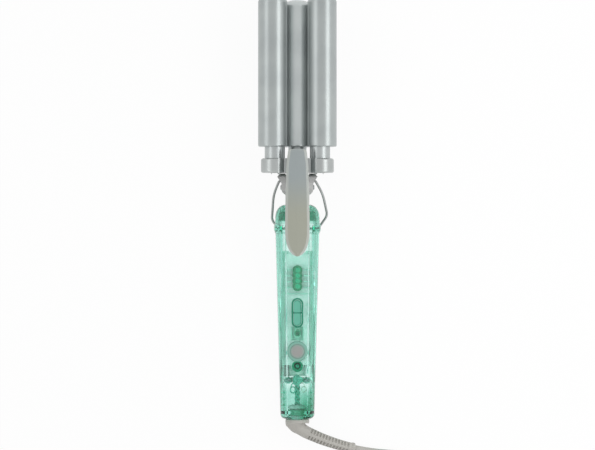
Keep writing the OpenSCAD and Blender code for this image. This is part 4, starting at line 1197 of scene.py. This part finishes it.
        def reach(i: int, turn: float) -> float:
            """Radius at a ring and an angle, in metres.

            Args:
                i: The ring's number.
                turn: Angle round it from its top.

            Returns:
                The radius.
            """
            s = shares[i]
            begins = smooth((s - self.ribs_to + self.collar_blur / 2) / self.collar_blur)
            ends = smooth((s - self.collar_to) / self.collar_blur)
            collar = self.collar_over * begins * (1 - ends)
            last = smooth((s - 1 + self.end_run) / self.end_run)
            first = smooth((self.start_run - s) / self.start_run)
            slot = self.slot_depth * self.slot_share(s, turn)
            return (self.boot_radius(s) + collar - self.end_round * (last + first) - slot) * MM

        stations = [s * self.relief_end for s in shares]
        made = line.skin("swivel_boot", stations, self.boot_sides, reach, Body.SWIVEL)
        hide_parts("strain_relief")
        return made

    def build(self) -> None:
        rubber = MouldedPlastic(
            "cord_rubber", "bab8b2", "aba8a2", roughness=0.5, texture_depth=2e-5
        )
        cord, boot = self.cord(), self.boot()
        rubber.on_piece(cord, "cord")
        rubber.on_piece(boot, "cord")
        rubber.on_parts("strain_relief", "cord_tube", "cord_coil", "cord_tail", "plug_body")
        mould("tie_rubber", "2b2d2e", "1f2122", 0.6, "coil_tie")
        SatinMetal("plug_brass", "c9ad66", "b39a5c", roughness=0.28).on_parts("plug_pins")


# ---- jaws ----


@dataclass
class Jaws:
    """Three barrels with their necks, the yoke that carries two of them, and the thumb lever."""

    # Y over which the lever's colour runs from its top to its tongue, as painted shade for its
    # change of slope
    lever_shade_run: Pair = (0.03, -0.01)

    def build(self) -> None:
        """Finishes every part of the two jaws."""
        barrel = SatinMetal(
            "barrel_satin", "b0b6b5", "a4aaaa", metallic=0.64, grain=(1, 0.12, 1), smudge=0.04
        )
        barrel.on_parts("left_barrel", "right_barrel")
        # The centre barrel takes a lighter copy of the barrel finish: painted light that offsets
        # the shade it sits in between the outer barrels.
        replace(barrel, name="centre_satin_lightened", colour="ccd2d1", deep="bfc5c5").on_parts(
            "centre_barrel"
        )
        SatinMetal("neck_satin", "bcc1c0", "adb2b2", roughness=0.32, metallic=0.8).on_parts(
            "left_neck", "right_neck", "centre_neck"
        )
        # The lever runs from cool grey at its top to warm grey on its tongue as painted shade, and
        # its lighter bevel colour is a painted highlight.
        MouldedPlastic(
            "lever_grey", "9aa2a3", "a3a598", roughness=0.4, run=self.lever_shade_run, bevel="bdc1bc"
        ).on_parts("thumb_lever")
        SatinMetal("yoke_satin", "bbbfbe", "acb0af", metallic=0.8).on_parts("yoke")
        mould("housing_grey", "cedad2", "c1cdc5", 0.4, "neck_housing", "swivel_journal")
        # The heat shield is a real collar, but its dark grey is partly painted shade for the gap
        # under the yoke.
        mould("shield_dark", "8d9490", "7c837f", 0.5, "heat_shield")
        SatinMetal("steel_turned", "a3a7a8", "8f9394", grain=(1, 6, 1)).on_parts(
            "hinge_pin", "jaw_spring", "lever_screws", "clamp_screws", "thermal_fuse"
        )
        SatinMetal("screw_zinc", "eef2f0", "dfe5e2", roughness=0.4, metallic=0.2).on_parts(
            "shell_screws"
        )
        SatinMetal("heater_cast", "b8babb", "a6a8a9", roughness=0.5).on_parts(
            "centre_heater_clamp", "left_heater_clamp", "right_heater_clamp"
        )
        plates = (f"{side}_heater_plates" for side in ("centre", "left", "right"))
        mould("heater_ceramic", "ece9df", "dcd8cc", 0.6, *plates)
        mould("lead_white", "e8e6dd", "d9d6cb", 0.45, "jaw_leads", "cord_clamp")
        SatinMetal("stand_steel", "aeb1b0", "9a9d9c", roughness=0.42, metallic=0.35).on_parts(
            "stand_wire"
        )


# ---- handle ----


@dataclass(frozen=True)
class SpareWire:
    """Wire end that leaves the knot and curls beside it, in millimetres.

    The way is 1 to leave towards +X and -1 towards -X. It starts and bends at places measured
    from the knot, with the bend a share of the way to the curl.
    """

    name: str
    middle: Point
    radius: float
    way: int
    start: Pair = (2.2, -1.4)
    bend: Pair = (-3.6, 0.6)
    bend_share: float = 0.7
    curl_points: int = 22
    points_per_turn: int = 16
    oval: float = 1.25
    lift: float = 1.2
    fall: float = 0.11
    wire_radius: float = 0.5
    sides: int = 10
    rings: int = 3

    def build(self, knot: Point) -> bpy.types.Object:
        """Makes the wire.

        Args:
            knot: Middle of the knot that it leaves, in millimetres.

        Returns:
            The piece.
        """
        (x, y, z), (knot_x, knot_y, knot_z) = self.middle, knot
        start_x = knot_x + self.way * self.start[0]
        bend_x = lerp(start_x, x + self.way * self.radius, self.bend_share)
        points = [
            (start_x, knot_y + self.start[1], knot_z),
            (bend_x, knot_y + self.bend[0], knot_z + self.bend[1]),
        ]
        for i in range(self.curl_points):
            turn = 2 * math.pi * i / self.points_per_turn
            across = self.way * self.radius * math.cos(turn)
            along = -self.oval * self.radius * math.sin(turn)
            points.append((x + across, y + along, z + self.lift - self.fall * i))
        line = Line([tuple(v * MM for v in p) for p in points])

        def reach(i: int, turn: float) -> float:
            """Radius of the wire, in metres."""
            return self.wire_radius * MM

        return line.skin(self.name, line.stations(self.rings), self.sides, reach, Body.HANDLE)


@dataclass
class Handle:
    """Clear shells, the controls in them, and the works that show through.

    Places and sizes are in metres, and those of the knot in millimetres.
    """

    button_centre: Pair = (0.0, -0.1231)
    button_radii: Pair = (0.0036, 0.0078)
    rocker_centre: Pair = (-0.0004, -0.0901)
    rocker_radii: Pair = (0.0024, 0.0034)
    rocker_straight: float = 0.0075
    boss_places: tuple[Spot, ...] = ((0.0, -0.1359, 0.0052), (0.0, -0.025, 0.0052))
    zones: tuple[Zone, ...] = (
        Zone("bfe6da", (-0.016, -0.009)),
        Zone("d9f0ea", (-0.150, -0.160)),
        Zone("9fd8c6", (-0.152, -0.174), (-0.002, 0.007), rippled=True),
    )
    guide_middle: Pair = (0.0003, -0.0605)
    lobe_radius: float = 0.0028
    lobe_pitch: float = 0.0046
    lobes: int = 4
    shroud_bead: Spot = (0.0002, -0.1076, 0.0036)
    frame_walls: Pair = (0.0202, 0.0208)
    knot_centre: Point = (0.1, -148.2, 17.4)
    knot_reach: float = 2.3
    knot_weave: float = 1.1
    knot_rise: float = 1.5
    knot_turns: int = 2
    knot_crossings: int = 3
    knot_points: int = 48
    knot_rings: int = 4
    lead_radius: float = 1.5
    lead_sides: int = 14
    green_curl: SpareWire = SpareWire("green_curl", (-3.9, -156.6, 15.4), 2.1, -1)
    white_curl: SpareWire = SpareWire("white_curl", (5.6, -156.2, 16.0), 1.9, 1)

    def knot(self) -> bpy.types.Object:
        """Overhand knot of the leads on the cord clamp.

        Returns:
            The piece.
        """
        x, y, z = self.knot_centre
        points = []
        for i in range(self.knot_points + 1):
            t = 2 * math.pi * i / self.knot_points
            turn, weave = self.knot_turns * t, self.knot_crossings * t
            reach = self.knot_reach + self.knot_weave * math.cos(weave)
            rise = self.knot_rise * self.knot_weave * math.sin(weave)
            spot = (x + reach * math.cos(turn), y + reach * math.sin(turn), z + rise)
            points.append(tuple(v * MM for v in spot))
        line = Line(points)

        def thickness(i: int, turn: float) -> float:
            """Radius of the lead, in metres."""
            return self.lead_radius * MM

        stations = line.stations(self.knot_rings)
        return line.skin("lead_knot", stations, self.lead_sides, thickness, Body.HANDLE)

    def build(self) -> None:
        """Finishes the shells, the controls and the works, and adds the loose wires."""
        # The shells' edge colour is painted shade on their rims.
        ClearPlastic(
            "shell_clear", tint="e6f9f3", edge="6ab9a2", deep="5dc1aa",
            soaks=(0.05, 0.86, 0.72), posts=self.boss_places, zones=self.zones,
        ).on_parts("front_shell", "rear_shell")
        # The frame's walls and fins get painted shade: a darker mint above the wall heights.
        TranslucentPlastic(
            "frame_mint", "ecfbf7", "daf3ec",
            transmission=0.02, raised="aadccd", raised_shade_from=self.frame_walls,
        ).on_parts("inner_frame")
        TranslucentPlastic(
            "ring_frosted", "7fcfb5", "4fb393",
            transmission=0.3, roughness=0.12, relief_per_metre=620, relief=4e-4,
        ).on_parts("swivel_ring")
        # The paler beads over the four lamps of the light guide are painted highlights.
        guide_x, guide_y = self.guide_middle
        first = guide_y - (self.lobes - 1) / 2 * self.lobe_pitch
        lit = tuple(
            (guide_x, first + i * self.lobe_pitch, self.lobe_radius) for i in range(self.lobes)
        )
        TranslucentPlastic(
            "guide_green", "0a9468", "06845c",
            transmission=0.08, roughness=0.18, bead="1fbe90", beads=lit,
        ).on_parts("light_guide")
        TranslucentPlastic(
            "shroud_mint", "b4f0dc", "9be3cd",
            transmission=0.1, bead="12936c", beads=(self.shroud_bead,),
        ).on_parts("key_shroud")
        TranslucentPlastic("collar_green", "5fa892", "418d75", transmission=0.15).on_parts(
            "collar_insert"
        )
        TranslucentPlastic("bezel_green", "2f8e72", "248164", transmission=0.08).on_parts(
            "rocker_bezel"
        )
        PressedKey(
            "key_grey", "9b9a98", "79b09f", self.button_centre, self.button_radii
        ).on_parts("power_button", "button_disc")
        PressedKey(
            "rocker_mint", "66b69f", "2c8b6f",
            self.rocker_centre, self.rocker_radii, self.rocker_straight,
        ).on_parts("rocker_key")
        PrintedBoard("board_mint", "dcefe8", "bfe2d6", "f0f2ea").on_parts("circuit_board")
        mould("component_grey", "7f9a92", "6c8880", 0.5, "driver_chip", "key_switches")
        mould("capacitor_white", "f4faf9", "e4efec", 0.35, "capacitor")
        mould("relay_grey", "7f908a", "6d7d78", 0.45, "relay")
        TranslucentPlastic("lamp_green", "59d6a4", "3fc590", transmission=0.3).on_parts(
            "indicator_lamps"
        )
        lead = MouldedPlastic("lead_green", "14ab7d", "0e9068", roughness=0.3)
        lead.on_parts("handle_leads")
        lead.on_piece(self.knot(), "lead_green")
        lead.on_piece(self.green_curl.build(self.knot_centre), "lead_green")
        MouldedPlastic("wire_white", "f0efe9", "dfddd5", roughness=0.4).on_piece(
            self.white_curl.build(self.knot_centre), "lead_white"
        )


# ---- whole ----


def write_sizes() -> None:
    """Brings the view layer up to date."""
    bpy.context.view_layer.update()


def main() -> None:
    """Builds the camera, the cord, the finishes and the studio, in that order."""
    logging.basicConfig(level=logging.INFO, format="%(message)s")
    studio = Studio()
    studio.camera()
    CordSet().build()
    Jaws().build()
    Handle().build()
    studio.build()
    write_sizes()


if __name__ == "__main__":
    main()
